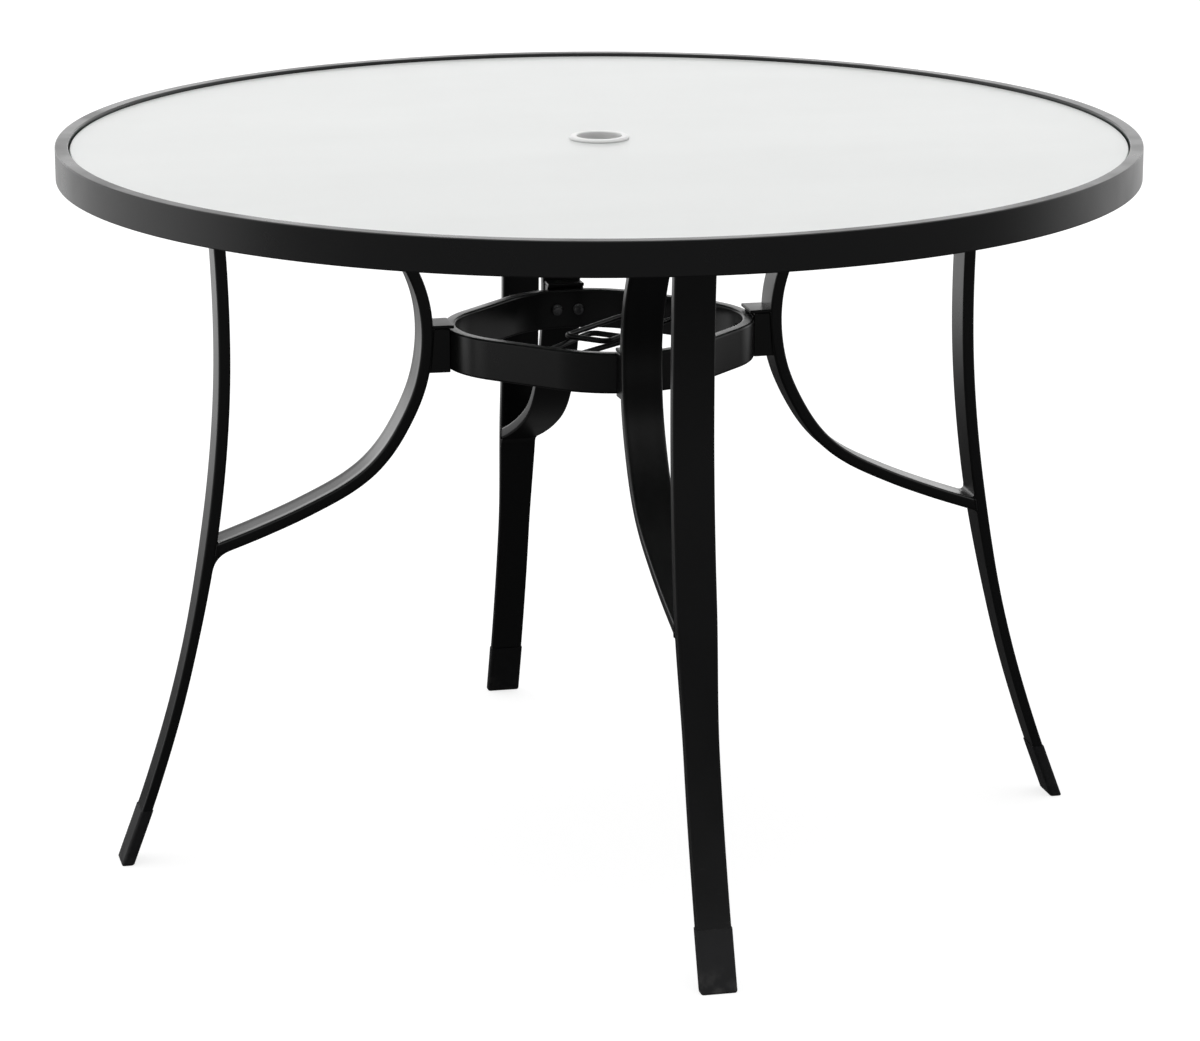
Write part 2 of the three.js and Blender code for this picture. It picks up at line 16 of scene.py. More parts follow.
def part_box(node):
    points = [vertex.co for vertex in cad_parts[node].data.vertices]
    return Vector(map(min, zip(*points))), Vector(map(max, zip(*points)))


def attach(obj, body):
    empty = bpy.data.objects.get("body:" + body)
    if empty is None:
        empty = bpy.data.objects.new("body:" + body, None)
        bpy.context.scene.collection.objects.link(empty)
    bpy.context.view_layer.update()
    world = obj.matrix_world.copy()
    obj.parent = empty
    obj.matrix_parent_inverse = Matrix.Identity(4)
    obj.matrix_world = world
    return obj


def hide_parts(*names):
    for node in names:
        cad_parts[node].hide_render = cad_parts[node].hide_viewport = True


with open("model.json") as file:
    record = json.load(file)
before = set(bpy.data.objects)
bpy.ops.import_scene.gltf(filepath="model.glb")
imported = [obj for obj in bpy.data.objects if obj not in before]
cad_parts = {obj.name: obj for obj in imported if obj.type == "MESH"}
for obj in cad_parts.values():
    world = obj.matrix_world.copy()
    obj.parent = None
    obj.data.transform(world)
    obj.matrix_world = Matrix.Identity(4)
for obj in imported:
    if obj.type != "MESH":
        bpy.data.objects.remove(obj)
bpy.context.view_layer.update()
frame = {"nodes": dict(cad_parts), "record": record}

bl_info = {
    "name": "Umbrella Table",
    "version": (1, 0, 0),
    "blender": (4, 5, 0),
    "location": "View3D > Sidebar > Table",
    "description": "Dresses a packed patio table with modelled pieces and procedural finishes",
    "category": "Add Mesh",
}

MILLIMETRE = 0.001
WHITE = (1, 1, 1, 1)
UP = Vector((0, 0, 1))
OUTWARDS = Vector((1, 0, 0))
SIDEWAYS = Vector((0, 1, 0))

SIDES = {"front": -pi / 2, "right": 0, "back": pi / 2, "left": pi}

# Points closer than this are one
TOUCHING = MILLIMETRE / 100

# The leg's middle line, as shares of the leg's height and of the foot's radius
LEG_SHARES = (
    (-0.05, 1.026), (0, 1), (0.115, 0.94), (0.244, 0.883), (0.388, 0.835),
    (0.546, 0.798), (0.704, 0.779), (0.863, 0.78), (1, 0.794), (1.05, 0.802),
)

# The brace's middle line: its height as a share of the leg's, and its reach from the bracket, at 0,
# out to the leg, at 1
BRACE_SHARES = (
    (0.4875, 0.756), (0.514, 0.552), (0.5465, 0.35), (0.575, 0.236), (0.617, 0.135), (0.69, 0.03),
    (0.769, 0), (0.8355, 0.041), (0.92, 0.197), (1, 0.413), (1.05, 0.58),
)

# The height where the brace meets the leg, as a share of the leg's
BRACE_FOOT_SHARE = 0.46


# Properties

def length(name, description, millimetres):
    return FloatProperty(
        name=name,
        description=description,
        default=millimetres * MILLIMETRE,
        min=0,
        precision=4,
        subtype="DISTANCE",
        unit="LENGTH",
    )


def angle(name, description, degrees):
    return FloatProperty(
        name=name,
        description=description,
        default=radians(degrees),
        subtype="ANGLE",
        unit="ROTATION",
    )


def share(name, description, default):
    return FloatProperty(
        name=name, description=description, default=default, min=0, max=1, subtype="FACTOR"
    )


def count(name, description, default):
    return IntProperty(name=name, description=description, default=default, min=1)


def colour(name, description, default):
    return FloatVectorProperty(
        name=name, description=description, default=default, min=0, max=1, size=3, subtype="COLOR"
    )


class TopSizes(bpy.types.PropertyGroup):
    """Sizes of the rim, the glass and the umbrella ring"""

    lip_width: length("Lip width", "Width of the rim's flat top", 13)
    rim_wall: length("Rim wall", "Thickness of the rim's metal", 1.5)
    rim_edge: length("Rim edge", "Radius of the rim's rolled edges", 1.2)
    rim_return: length("Return width", "Width of the rim's return at its lower edge", 10)
    glass_edge: length("Glass edge", "Radius of the glass's ground edge", 1)
    glass_hole: length("Glass hole", "Diameter of the hole in the glass", 50)
    collar_gap: length("Collar gap", "Gap between the glass and the ring's collar", 0.5)
    collar_wall: length("Collar wall", "Thickness of the ring's collar", 2)
    flange_height: length("Flange height", "Height of the ring's flange", 3)
    flange_edge: length("Flange edge", "Radius of the flange's edges", 1.2)
    snap_height: length("Snap height", "Height of the lip that snaps under the glass", 2.5)
    turns: count("Turning steps", "Steps round the rim and the glass", 288)
    ring_turns: count("Ring steps", "Steps round the umbrella ring", 96)


class TubeSizes(bpy.types.PropertyGroup):
    """Sizes of the flat tube, the legs and the foot caps"""

    edge: length("Tube edge", "Radius of the flat tube's edges", 2.5)
    wall: length("Tube wall", "Wall of the flat tube", 1.2)
    foot_width: length("Foot width", "Width of the leg at the floor", 33.5)
    foot_depth: length("Foot depth", "Depth of the leg at the floor", 10.2)
    taper_bottom: length("Taper bottom", "Height where the leg begins to widen", 205)
    taper_top: length("Taper top", "Height where the leg has its full width", 350)
    cap_gap: length("Cap gap", "Gap between the leg and its foot cap", 0.3)
    cap_wall: length("Cap wall", "Wall of the foot cap", 0.8)
    cap_mouth: length("Cap mouth", "Depth of the open mouth of the foot cap", 2)
    cap_edge: length("Cap edge", "Radius of the foot cap's lower edge", 2.2)
    sole_border: length("Sole border", "Width of the border round the sole's hollow", 2.4)
    sole_depth: length("Sole depth", "Depth of the hollow in the sole", 0.8)
    rail_depth: length("Rail bore", "How far the rail's open end shows its inside", 24)
    dish: length("Dish", "Depth of the hollow that bending leaves in a brace's upper face", 0.45)
    dish_border: length("Dish border", "Width over which that hollow sinks", 8)
    edge_steps: count("Edge steps", "Steps round each edge of the tube", 4)
    dish_steps: count("Dish steps", "Steps across the hollow", 11)
    line_steps: count("Line steps", "Steps between two places on a bent tube's line", 9)


class HoopSizes(bpy.types.PropertyGroup):
    """Sizes of the hoop, its brackets and its rods"""

    corner: length("Corner radius", "Outer radius of the hoop's corners", 100)
    bracket_length: length("Bracket length", "From the hoop's corner to the brace", 15.4)
    bracket_hoop_width: length("Bracket width at the hoop", "Width of the bracket at the hoop", 38)
    bracket_brace_width: length("Bracket width at the brace", "Width of the bracket at the brace", 36)
    bracket_flange: length("Bracket flange", "Thickness of the flange on the bracket", 3.4)
    bracket_edge: length("Bracket edge", "Radius of the bracket's edges", 1)
    rod: length("Rod diameter", "Diameter of the bent rods", 5.7)
    loop_width: length("Loop width", "Width of a rod's loop, between its middle lines", 50)
    loop_rear: length("Rear width", "Width of the lower loop where it meets the hoop", 24)
    loop_bend: length("Loop bend", "Radius of a rod's bends", 9)
    corner_steps: count("Corner steps", "Steps round each corner of the hoop", 20)
    rod_sides: count("Rod sides", "Sides of a rod", 20)
    bend_steps: count("Bend steps", "Steps round each bend of a rod", 10)


class FastenerSizes(bpy.types.PropertyGroup):
    """Sizes of the bolts, the pads and the welds"""

    shank: length("Shank", "Diameter of a bolt's shank", 6)
    head_height: length("Head height", "Height of a bolt's domed head", 4)
    head_rim: length("Head rim", "Height of the upright rim round a bolt's head", 0.7)
    washer: length("Washer", "Thickness of the washer under a hoop bolt's head", 0.7)
    hoop_bolt_spacing: length("Hoop bolt spacing", "Between the two bolts of a hoop corner", 22.5)
    pad_edge: length("Pad edge", "Radius of a pad's edges", 0.5)
    bead: length("Weld bead", "Radius of a small weld bead", 1.7)
    small_fillet: length("Small fillet", "Reach of a small weld at a brace's foot", 4)
    middle_fillet: length("Middle fillet", "Reach of a middling weld at a brace's foot", 8)
    large_fillet: length("Large fillet", "Reach of the largest weld at a brace's foot", 14)
    ripple: length("Weld ripple", "Length of one ripple of a weld bead", 1.9)
    ripple_height: share("Ripple height", "Height of a ripple, as a share of the bead", 0.13)
    turns: count("Turning steps", "Steps round a bolt or a pad", 48)


class Finishes(bpy.types.PropertyGroup):
    """Colours of the table"""

    coat: colour("Powder coat", "Black powder coat of the metal", (0.004, 0.0041, 0.0044))
    glass: colour("Glass", "Pale frosted glass", (0.705, 0.72, 0.71))
    glass_rim: colour("Glass edge", "Ground edge of the glass", (0.42, 0.56, 0.49))
    ring: colour("Umbrella ring", "White moulded plastic", (0.93, 0.93, 0.92))
    cap: colour("Foot caps", "Black moulded plastic", (0.011, 0.011, 0.012))
    bolt: colour("Bolts", "Blackened steel", (0.2, 0.2, 0.205))
    pad: colour("Pads", "Pale soft vinyl", (0.62, 0.64, 0.63))
    dust: colour("Dust", "Dust on upward faces", (0.34, 0.33, 0.31))


class StageSizes(bpy.types.PropertyGroup):
    """The camera, the floor and the light"""

    distance: length("Camera distance", "From the table's axis to the camera, over the floor", 4283)
    height: length("Camera height", "Height of the camera", 1468)
    turn: angle("Camera place", "Turn of the camera's place from -Y towards -X", 13)
    pan: angle("Camera pan", "Turn of the camera's view about Z", -13.05)
    tilt: angle("Camera tilt", "Tilt of the camera, where 90 degrees is level", 75.05)
    lens: FloatProperty(
        name="Lens", description="Focal length for a 36 mm frame", default=131.73, min=1, unit="CAMERA"
    )
    shift: FloatProperty(name="Shift", description="Sideways shift of the picture", default=-0.0025)
    floor_radius: length("Floor radius", "Radius of the floor", 16000)
    lamp_size: length("Lamp size", "Width of the soft lamp", 2600)
    lamp_power: FloatProperty(
        name="Lamp power", description="Power of the soft lamp", default=7, min=0, unit="POWER"
    )


GROUPS = {
    "table_top": TopSizes,
    "table_tube": TubeSizes,
    "table_hoop": HoopSizes,
    "table_fasteners": FastenerSizes,
    "table_finishes": Finishes,
    "table_stage": StageSizes,
}


# Shader nodes

# Where a Mix node that mixes colours has its sockets
MIX_FACTOR = 0
MIX_ONE = 6
MIX_OTHER = 7
MIX_RESULT = 2


class Value:
    """A socket of a shader, on which Python's operators add Math nodes."""

    def __init__(self, nodes, socket):
        self.nodes = nodes
        self.socket = socket

    def maths(self, operation, *inputs):
        return self.nodes.add("ShaderNodeMath", {"operation": operation}, dict(enumerate(inputs)))

    def __add__(self, other):
        return self.maths("ADD", self, other)

    def __radd__(self, other):
        return self.maths("ADD", other, self)

    def __sub__(self, other):
        return self.maths("SUBTRACT", self, other)

    def __rsub__(self, other):
        return self.maths("SUBTRACT", other, self)

    def __mul__(self, other):
        return self.maths("MULTIPLY", self, other)

    def __rmul__(self, other):
        return self.maths("MULTIPLY", other, self)

    def __abs__(self):
        return self.maths("ABSOLUTE", self)


class Nodes:
    """The nodes of one material or world."""

    def __init__(self, owner):
        owner.use_nodes = True
        self.tree = owner.node_tree
        self.tree.nodes.clear()

    def add(self, kind, settings=None, inputs=None, output=0):
        """Adds a node, sets what it is, then fills or links its sockets. Returns one output."""
        node = self.tree.nodes.new(kind)
        for key, value in (settings or {}).items():
            setattr(node, key, value)
        for key, value in (inputs or {}).items():
            if isinstance(value, Value):
                self.tree.links.new(value.socket, node.inputs[key])
            else:
                node.inputs[key].default_value = value
        return Value(self, node.outputs[output]) if node.outputs else None

    def place(self):
        return self.add("ShaderNodeTexCoord", output="Object")

    def stretched(self, scale):
        """Object coordinates drawn out or in along each axis"""
        return self.add("ShaderNodeMapping", {}, {"Vector": self.place(), "Scale": scale})

    def part(self, vector, axis):
        return self.add("ShaderNodeSeparateXYZ", {}, {"Vector": vector}, axis)

    def noise(self, scale, detail=2, roughness=0.5, place=None):
        inputs = {"Scale": scale, "Detail": detail, "Roughness": roughness}
        return self.add("ShaderNodeTexNoise", {}, {"Vector": place or self.place(), **inputs})

    def cells(self, feature, inputs):
        return self.add(
            "ShaderNodeTexVoronoi", {"feature": feature}, {"Vector": self.place(), **inputs}
        )

    def limits(self, value, low, high, to_low=0, to_high=1):
        """A value brought from one range to another with soft ends"""
        inputs = {"From Min": low, "From Max": high, "To Min": to_low, "To Max": to_high}
        settings = {"interpolation_type": "SMOOTHSTEP"}
        return self.add("ShaderNodeMapRange", settings, {"Value": value, **inputs})

    def mix(self, factor, one, other):
        """A colour between two colours"""
        inputs = {MIX_FACTOR: factor, MIX_ONE: one, MIX_OTHER: other}
        return self.add("ShaderNodeMix", {"data_type": "RGBA"}, inputs, MIX_RESULT)

    def bump(self, height, strength, distance, under=None):
        inputs = {"Height": height, "Strength": strength, "Distance": distance}
        if under:
            inputs["Normal"] = under
        return self.add("ShaderNodeBump", {}, inputs)

    def upward(self):
        """1 where a face looks up, 0 where it looks sideways, -1 where it looks down"""
        return self.part(self.add("ShaderNodeNewGeometry", output="Normal"), "Z")


def shade(rgb, share=1.0):
    """An opaque colour that is darker or lighter by a share"""
    return (*(min(1, share * part) for part in rgb), 1)


def add_surface(nodes, inputs):
    surface = nodes.add("ShaderNodeBsdfPrincipled", {}, inputs)
    nodes.add("ShaderNodeOutputMaterial", {}, {"Surface": surface})


# Finishes

def coat_metal(nodes, finishes, ripple=0.0):
    """Satin powder coat: orange peel, a fine speckle, thin dust and scuffs near the floor"""
    height = nodes.part(nodes.place(), "Z")
    patches = nodes.noise(scale=9, detail=3, roughness=0.6)
    speckle = nodes.noise(scale=2600, detail=1)
    peel = nodes.noise(scale=420, roughness=0.45)
    grains = nodes.noise(scale=900, detail=3, roughness=0.7)
    scratches = nodes.noise(scale=60, detail=4, roughness=0.75, place=nodes.stretched((1, 1, 7)))

    dust = nodes.limits(nodes.upward(), 0.55, 0.98) * nodes.limits(patches, 0.38, 0.72)
    scuffs = nodes.limits(height, 0.17, 0.01) * nodes.limits(scratches, 0.6, 0.72)
    base = nodes.mix(speckle, shade(finishes.coat), shade(finishes.coat, 2.1))
    dusty = nodes.mix(dust * grains * 0.045, base, shade(finishes.dust))
    worn = nodes.mix(scuffs * 0.07, dusty, shade(finishes.dust))

    satin = nodes.limits(patches, 0.3, 0.7, 0.27, 0.34)
    relief = nodes.bump(peel, 0.16 + ripple, 0.0002, nodes.bump(speckle, 0.05, 0.00008))
    add_surface(nodes, {
        "Base Color": worn,
        "Roughness": satin + dust * 0.08 + scuffs * 0.12,
        "Coat Weight": 0.15,
        "Coat Roughness": 0.22,
        "Normal": relief,
    })


def coat_welds(nodes, finishes):
    """The same coat over a weld, a little rougher"""
    coat_metal(nodes, finishes, ripple=0.25)


def frost_glass(nodes, finishes):
    """Pale frosted glass that lets some light through, pebbled below, greener at its ground edges"""
    upward = nodes.upward()
    clouds = nodes.noise(scale=1.7, detail=3, roughness=0.55, place=nodes.stretched((0.55, 1.5, 1)))
    streaks = nodes.noise(scale=3.1, detail=4, roughness=0.6, place=nodes.stretched((0.25, 1.3, 1)))
    pebbles = nodes.cells("SMOOTH_F1", {"Scale": 240, "Smoothness": 0.6})
    grain = nodes.noise(scale=3400, detail=1)
    film = nodes.noise(scale=26, detail=5, roughness=0.65)

    side = nodes.limits(abs(upward), 0.85, 0.4)
    below = nodes.limits(upward, -0.3, -0.8)
    cloudy = nodes.limits(clouds + streaks * 0.5, 0.55, 0.95)
    body = nodes.mix(cloudy, shade(finishes.glass), shade(finishes.glass, 1.055))
    add_surface(nodes, {
        "Base Color": nodes.mix(side, body, shade(finishes.glass_rim)),
        "Roughness": 0.26 + film * 0.06 + below * 0.2 + side * 0.1,
        "IOR": 1.52,
        "Subsurface Weight": 0.6,
        "Subsurface Radius": (1, 1, 1),
        "Subsurface Scale": 0.006,
        "Normal": nodes.bump(pebbles * below * 2 + grain * 0.006, 0.35, 0.0006),
    })


def mould_white(nodes, finishes):
    """White moulded plastic with a faint grain and handling marks"""
    marks = nodes.noise(scale=45, detail=4, roughness=0.65)
    grain = nodes.noise(scale=2400)
    handled = nodes.limits(marks, 0.4, 0.75)
    add_surface(nodes, {
        "Base Color": nodes.mix(handled, shade(finishes.ring), shade(finishes.ring, 0.93)),
        "Roughness": 0.3 + marks * 0.12,
        "Subsurface Weight": 0.5,
        "Subsurface Radius": (1, 1, 1),
        "Subsurface Scale": 0.004,
        "Normal": nodes.bump(grain, 0.08, 0.0001),
    })


def mould_black(nodes, finishes):
    """Black moulded plastic with a leathery spark texture, greyed by dust low down"""
    height = nodes.part(nodes.place(), "Z")
    cells = nodes.cells("F1", {"Scale": 1500})
    cloud = nodes.noise(scale=70, detail=4, roughness=0.6)
    dust = nodes.limits(height, 0.03, 0.002) * nodes.limits(cloud, 0.4, 0.7)
    body = nodes.mix(cloud, shade(finishes.cap), shade(finishes.cap, 1.9))
    add_surface(nodes, {
        "Base Color": nodes.mix(dust * 0.12, body, shade(finishes.dust)),
        "Roughness": 0.5 + cloud * 0.16,
        "Specular IOR Level": 0.4,
        "Normal": nodes.bump(cells, 0.22, 0.00015),
    })


def blacken_steel(nodes, finishes):
    """Blackened steel with a fine turned grain and rubbed high spots"""
    grain = nodes.noise(scale=1900, detail=3, roughness=0.7)
    rub = nodes.noise(scale=380, detail=3, roughness=0.6)
    rubbed = nodes.limits(rub, 0.5, 0.8)
    add_surface(nodes, {
        "Base Color": nodes.mix(rubbed, shade(finishes.bolt), shade(finishes.bolt, 2)),
        "Metallic": nodes.limits(rub, 0.45, 0.8, 0.8, 1),
        "Roughness": 0.12 + grain * 0.08,
        "Normal": nodes.bump(grain, 0.08, 0.00008),
    })


def cast_vinyl(nodes, finishes):
    """Pale soft vinyl, a little cloudy"""
    cloud = nodes.noise(scale=260, detail=3, roughness=0.6)
    grain = nodes.noise(scale=1500)
    add_surface(nodes, {
        "Base Color": nodes.mix(cloud, shade(finishes.pad), shade(finishes.pad, 0.86)),
        "Roughness": 0.28 + cloud * 0.14,
        "Normal": nodes.bump(grain, 0.06, 0.0001),
    })


FINISHERS = {
    "Powder coat": (coat_metal, "powder_coat"),
    "Coated weld": (coat_welds, "powder_coat"),
    "Frosted glass": (frost_glass, "pale_glass"),
    "White plastic": (mould_white, "white_plastic"),
    "Black plastic": (mould_black, "black_plastic"),
    "Black steel": (blacken_steel, "black_bolt"),
    "Soft vinyl": (cast_vinyl, "clear_vinyl"),
}


def finish_named(name):
    """The material of that name, made when it is first asked for"""
    found = bpy.data.materials.get(name)
    if not found:
        found = bpy.data.materials.new(name)
        maker, _ = FINISHERS[name]
        maker(Nodes(found), bpy.context.scene.table_finishes)
    return found


# Pieces

def add_piece(bm, name, finish, replaced=(), sharp=42):
    """Makes a bmesh a piece of the table, which stands for the packed nodes that it replaces"""
    bmesh.ops.recalc_face_normals(bm, faces=bm.faces[:])
    mesh = bpy.data.meshes.new(name)
    bm.to_mesh(mesh)
    bm.free()
    mesh.materials.append(finish_named(finish))
    mesh.shade_smooth()
    mesh.set_sharp_from_angle(angle=radians(sharp))
    piece = bpy.data.objects.new(name, mesh)
    bpy.context.scene.collection.objects.link(piece)
    piece.modifiers.new("Flat faces stay flat", "WEIGHTED_NORMAL").keep_sharp = True
    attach(piece, "root")
    if replaced:
        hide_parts(*replaced)
    return piece


def add_on_sides(bm, name, finish, replaced=(), sides=SIDES):
    """Makes one piece for each side from a bmesh that lies on +X"""
    for side in sides:
        turned = bm.copy()
        turn = Matrix.Rotation(SIDES[side], 3, "Z")
        bmesh.ops.rotate(turned, cent=(0, 0, 0), matrix=turn, verts=turned.verts[:])
        nodes = [node.format(side=side) for node in replaced]
        add_piece(turned, name.format(side=side), finish, nodes)
    bm.free()


# Shapes

def new_face(bm, made_before):
    return next(face for face in bm.faces if face not in made_before)


def tube_face(bm, width, depth, grow=0.0):
    """A flat face with rounded corners, its depth along X and its width along Y, grown all round"""
    sizes = bpy.context.scene.table_tube
    before = set(bm.faces)
    corners = bmesh.ops.create_grid(bm, x_segments=1, y_segments=1, size=0.5)["verts"]
    bmesh.ops.scale(bm, vec=(depth + 2 * grow, width + 2 * grow, 1), verts=corners)
    round_corners(bm, corners, sizes.edge + grow, sizes.edge_steps)
    return new_face(bm, before)


def eased(way):
    """A way from 0 to 1 with soft ends"""
    way = min(max(way, 0), 1)
    return way * way * (3 - 2 * way)


def dish_side(bm, face, depth, border, steps):
    """Hollows the long side of a tube's face that lies at the most X"""
    outer = [edge for edge in face.edges if min(vert.co.x for vert in edge.verts) > 0]
    side = max(outer, key=lambda edge: edge.calc_length())
    half = side.calc_length() / 2
    cut = bmesh.ops.subdivide_edges(bm, edges=[side], cuts=steps)["geom_inner"]
    for vert in only(BMVert, cut):
        vert.co.x -= depth * eased((half - abs(vert.co.y)) / border)


def round_face(bm, radius, sides):
    before = set(bm.faces)
    bmesh.ops.create_circle(bm, cap_ends=True, segments=sides, radius=radius)
    return new_face(bm, before)


def bevel(bm, geometry, affect, radius, steps, clamp):
    bmesh.ops.bevel(
        bm,
        geom=geometry,
        affect=affect,
        offset=radius,
        offset_type="OFFSET",
        segments=steps,
        profile=0.5,
        material=-1,
        clamp_overlap=clamp,
    )


def round_corners(bm, corners, radius, steps):
    bevel(bm, corners, "VERTICES", radius, steps, clamp=False)


def round_edges(bm, edges, radius, steps=3):
    bevel(bm, edges, "EDGES", radius, steps, clamp=True)


def sharp_edges(bm, least=50):
    return [edge for edge in bm.edges if edge.calc_face_angle(0) > radians(least)]


def only(kind, geometry):
    return [part for part in geometry if isinstance(part, kind)]


def grow_face(bm, face, matrix):
    """Draws a face out to where a matrix takes it, and returns the new end"""
    grown = bmesh.ops.extrude_face_region(bm, geom=[face])["geom"]
    end = only(BMFace, grown)[0]
    bmesh.ops.transform(bm, matrix=matrix, verts=end.verts)
    return end


def sweep(bm, face, stations):
    """Draws a face, laid out flat about the origin, along stations. Returns its two ends"""
    bmesh.ops.transform(bm, matrix=stations[0], verts=face.verts)
    start = end = face
    for before, after in zip(stations, stations[1:]):
        grown = grow_face(bm, end, after @ before.inverted())
        if end is not start:
            bmesh.ops.delete(bm, geom=[end], context="FACES_ONLY")
        end = grown
    return start, end


def stations_along(line, broad, size=None):
    """Frames along a line: X through the tube, Y across its broad face, Z along the line"""
    stations = []
    for before, place, after in zip([line[0], *line], line, [*line[1:], line[-1]]):
        along = (after - before).normalized()
        width, depth = size(place) if size else (1, 1)
        axes = Matrix((broad.cross(along) * depth, broad * width, along)).transposed()
        stations.append(Matrix.Translation(place) @ axes.to_4x4())
    return stations


def stations_round(route, broad):
    """Frames round a closed route"""
    return stations_along([route[-1], *route, route[0], route[1]], broad)[1:-1]


def close_ring(bm, ends):
    """Joins the ends of a sweep that has come round to its start"""
    bmesh.ops.delete(bm, geom=list(ends), context="FACES_ONLY")
    bmesh.ops.remove_doubles(bm, verts=bm.verts[:], dist=TOUCHING)


def cut_level(bm, place, normal):
    """Cuts off what lies beyond a plane, closes the cut and returns its face"""
    everything = bm.verts[:] + bm.edges[:] + bm.faces[:]
    cut = bmesh.ops.bisect_plane(
        bm, geom=everything, plane_co=place, plane_no=normal, clear_outer=True
    )["geom_cut"]
    return bmesh.ops.edgeloop_fill(bm, edges=only(BMEdge, cut))["faces"][0]


def sink_face(bm, face, border, depth, steepness=40):
    """Sinks the middle of a face, inside a flat border. The sides lean in a little"""
    lean = depth / steepness
    bmesh.ops.inset_region(bm, faces=[face], thickness=border, use_even_offset=True)
    bmesh.ops.inset_region(bm, faces=[face], thickness=lean, depth=-depth, use_even_offset=True)


def turn_outline(corners, steps, edge_steps=4):
    """An outline turned round Z. A corner has a radius, a height and, if it is rounded, an edge"""
    bm = bmesh.new()
    verts = [bm.verts.new((radius, 0, height)) for radius, height, *_ in corners]
    bm.faces.new(verts)
    for vert, (_, _, *edge) in zip(verts, corners):
        if edge:
            round_corners(bm, [vert], edge[0], edge_steps)
    bmesh.ops.delete(bm, geom=bm.faces[:], context="FACES_ONLY")
    on_axis = [edge for edge in bm.edges if all(vert.co.x < TOUCHING for vert in edge.verts)]
    bmesh.ops.delete(bm, geom=on_axis, context="EDGES_FACES")
    bmesh.ops.spin(
        bm,
        geom=bm.verts[:] + bm.edges[:],
        cent=(0, 0, 0),
        axis=UP,
        dvec=(0, 0, 0),
        angle=tau,
        steps=steps,
        use_merge=True,
        use_duplicate=False,
    )
    bmesh.ops.remove_doubles(bm, verts=bm.verts[:], dist=TOUCHING)
    return bm


def rounded_route(corners, edges, steps):
    """Points round a flat outline, some of whose corners are rounded"""
    bm = bmesh.new()
    verts = [bm.verts.new((x, y, 0)) for x, y in corners]
    bm.faces.new(verts)
    for vert, edge in zip(verts, edges):
        if edge:
            round_corners(bm, [vert], edge, steps)
    face = bm.faces[:][0]
    route = [vert.co.copy() for vert in face.verts]
    bm.free()
    return route


# Lines of the bent tubes

def line_through(places, steps):
    """Points of a smooth line in the XZ plane through places of a radius and a height"""
    knots = [Vector((radius, 0, height)) for radius, height in places]
    knots = [2 * knots[0] - knots[1], *knots, 2 * knots[-1] - knots[-2]]
    line = [knots[1]]
    for one, two, three, four in zip(knots, knots[1:], knots[2:], knots[3:]):
        early = sqrt((two - one).length)
        middle = sqrt((three - two).length)
        late = sqrt((four - three).length)
        leaving = (two - one) / early - (three - one) / (early + middle) + (three - two) / middle
        arriving = (three - two) / middle - (four - two) / (middle + late) + (four - three) / late
        first_handle = two + leaving * middle / 3
        second_handle = three - arriving * middle / 3
        line += interpolate_bezier(two, first_handle, second_handle, three, steps + 1)[1:]
    return line


def radius_at(line, height):
    for below, above in zip(line, line[1:]):
        if above.z >= height:
            way = (height - below.z) / (above.z - below.z)
            return below.x + (above.x - below.x) * way
    raise ValueError(f"the line doesn't reach a height of {height}")


def leg_height():
    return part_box("leg_right")[1].z


def foot_radius():
    mounts = {mount["name"]: mount for mount in frame["record"]["mounts"]}
    return mounts["floor_right"]["pos_m"][0]


def tube_width():
    low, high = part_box("top_rail_right")
    return high.y - low.y


def tube_depth():
    low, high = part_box("top_rail_right")
    return high.z - low.z


def hoop_reach():
    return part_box("hoop")[1].x


def neck_radius():
    return hoop_reach() + bpy.context.scene.table_hoop.bracket_length + tube_depth() / 2


def leg_line():
    steps = bpy.context.scene.table_tube.line_steps
    return line_through([(out * foot_radius(), up * leg_height()) for up, out in LEG_SHARES], steps)


def brace_line():
    steps = bpy.context.scene.table_tube.line_steps
    foot = radius_at(leg_line(), BRACE_FOOT_SHARE * leg_height())
    neck = neck_radius()
    places = [(neck + (foot - neck) * reach, up * leg_height()) for up, reach in BRACE_SHARES]
    return line_through([(foot, BRACE_FOOT_SHARE * leg_height()), *places], steps)


def taper(place):
    """Width and depth of the tube at a height, as shares of its full size"""
    sizes = bpy.context.scene.table_tube
    upwards = eased((place.z - sizes.taper_bottom) / (sizes.taper_top - sizes.taper_bottom))
    foot_width = sizes.foot_width / tube_width()
    foot_depth = sizes.foot_depth / tube_depth()
    return foot_width + (1 - foot_width) * upwards, foot_depth + (1 - foot_depth) * upwards


def bent_tube(bm, line, grow=0.0, dished=False):
    """The flat tube along a line, thicker all round by grow"""
    sizes = bpy.context.scene.table_tube
    face = tube_face(bm, tube_width(), tube_depth(), grow)
    if dished:
        dish_side(bm, face, sizes.dish, sizes.dish_border, sizes.dish_steps)
    return sweep(bm, face, stations_along(line, SIDEWAYS, taper))


def face_line(line, side):
    """The middle line of a tube's broad face: outer for a side of 1, inner for -1"""
    out = Vector((side * tube_depth() / 2, 0, 0))
    return [station @ out for station in stations_along(line, SIDEWAYS, taper)]


def crossing(line, other):
    """Where two lines in the XZ plane cross"""
    for start, end in zip(line, line[1:]):
        for first, last in zip(other, other[1:]):
            met = intersect_line_line_2d(start.xz, end.xz, first.xz, last.xz)
            if met:
                return Vector((met.x, 0, met.y))
    raise ValueError("the lines don't cross")


def way_along(line, place, rise):
    """The way along a line from a place on it to the height that it has after a rise"""
    height = place.z + rise
    return (Vector((radius_at(line, height), 0, height)) - place).normalized()


# Stage

SENSOR_MILLIMETRES = 36
FAR_CLIP = 100
FLOOR_SIDES = 96
LAMP_PLACE = Vector((-1.6, 1.1, 3.2))
LAMP_AIM = Vector((0, 0, 0.5))

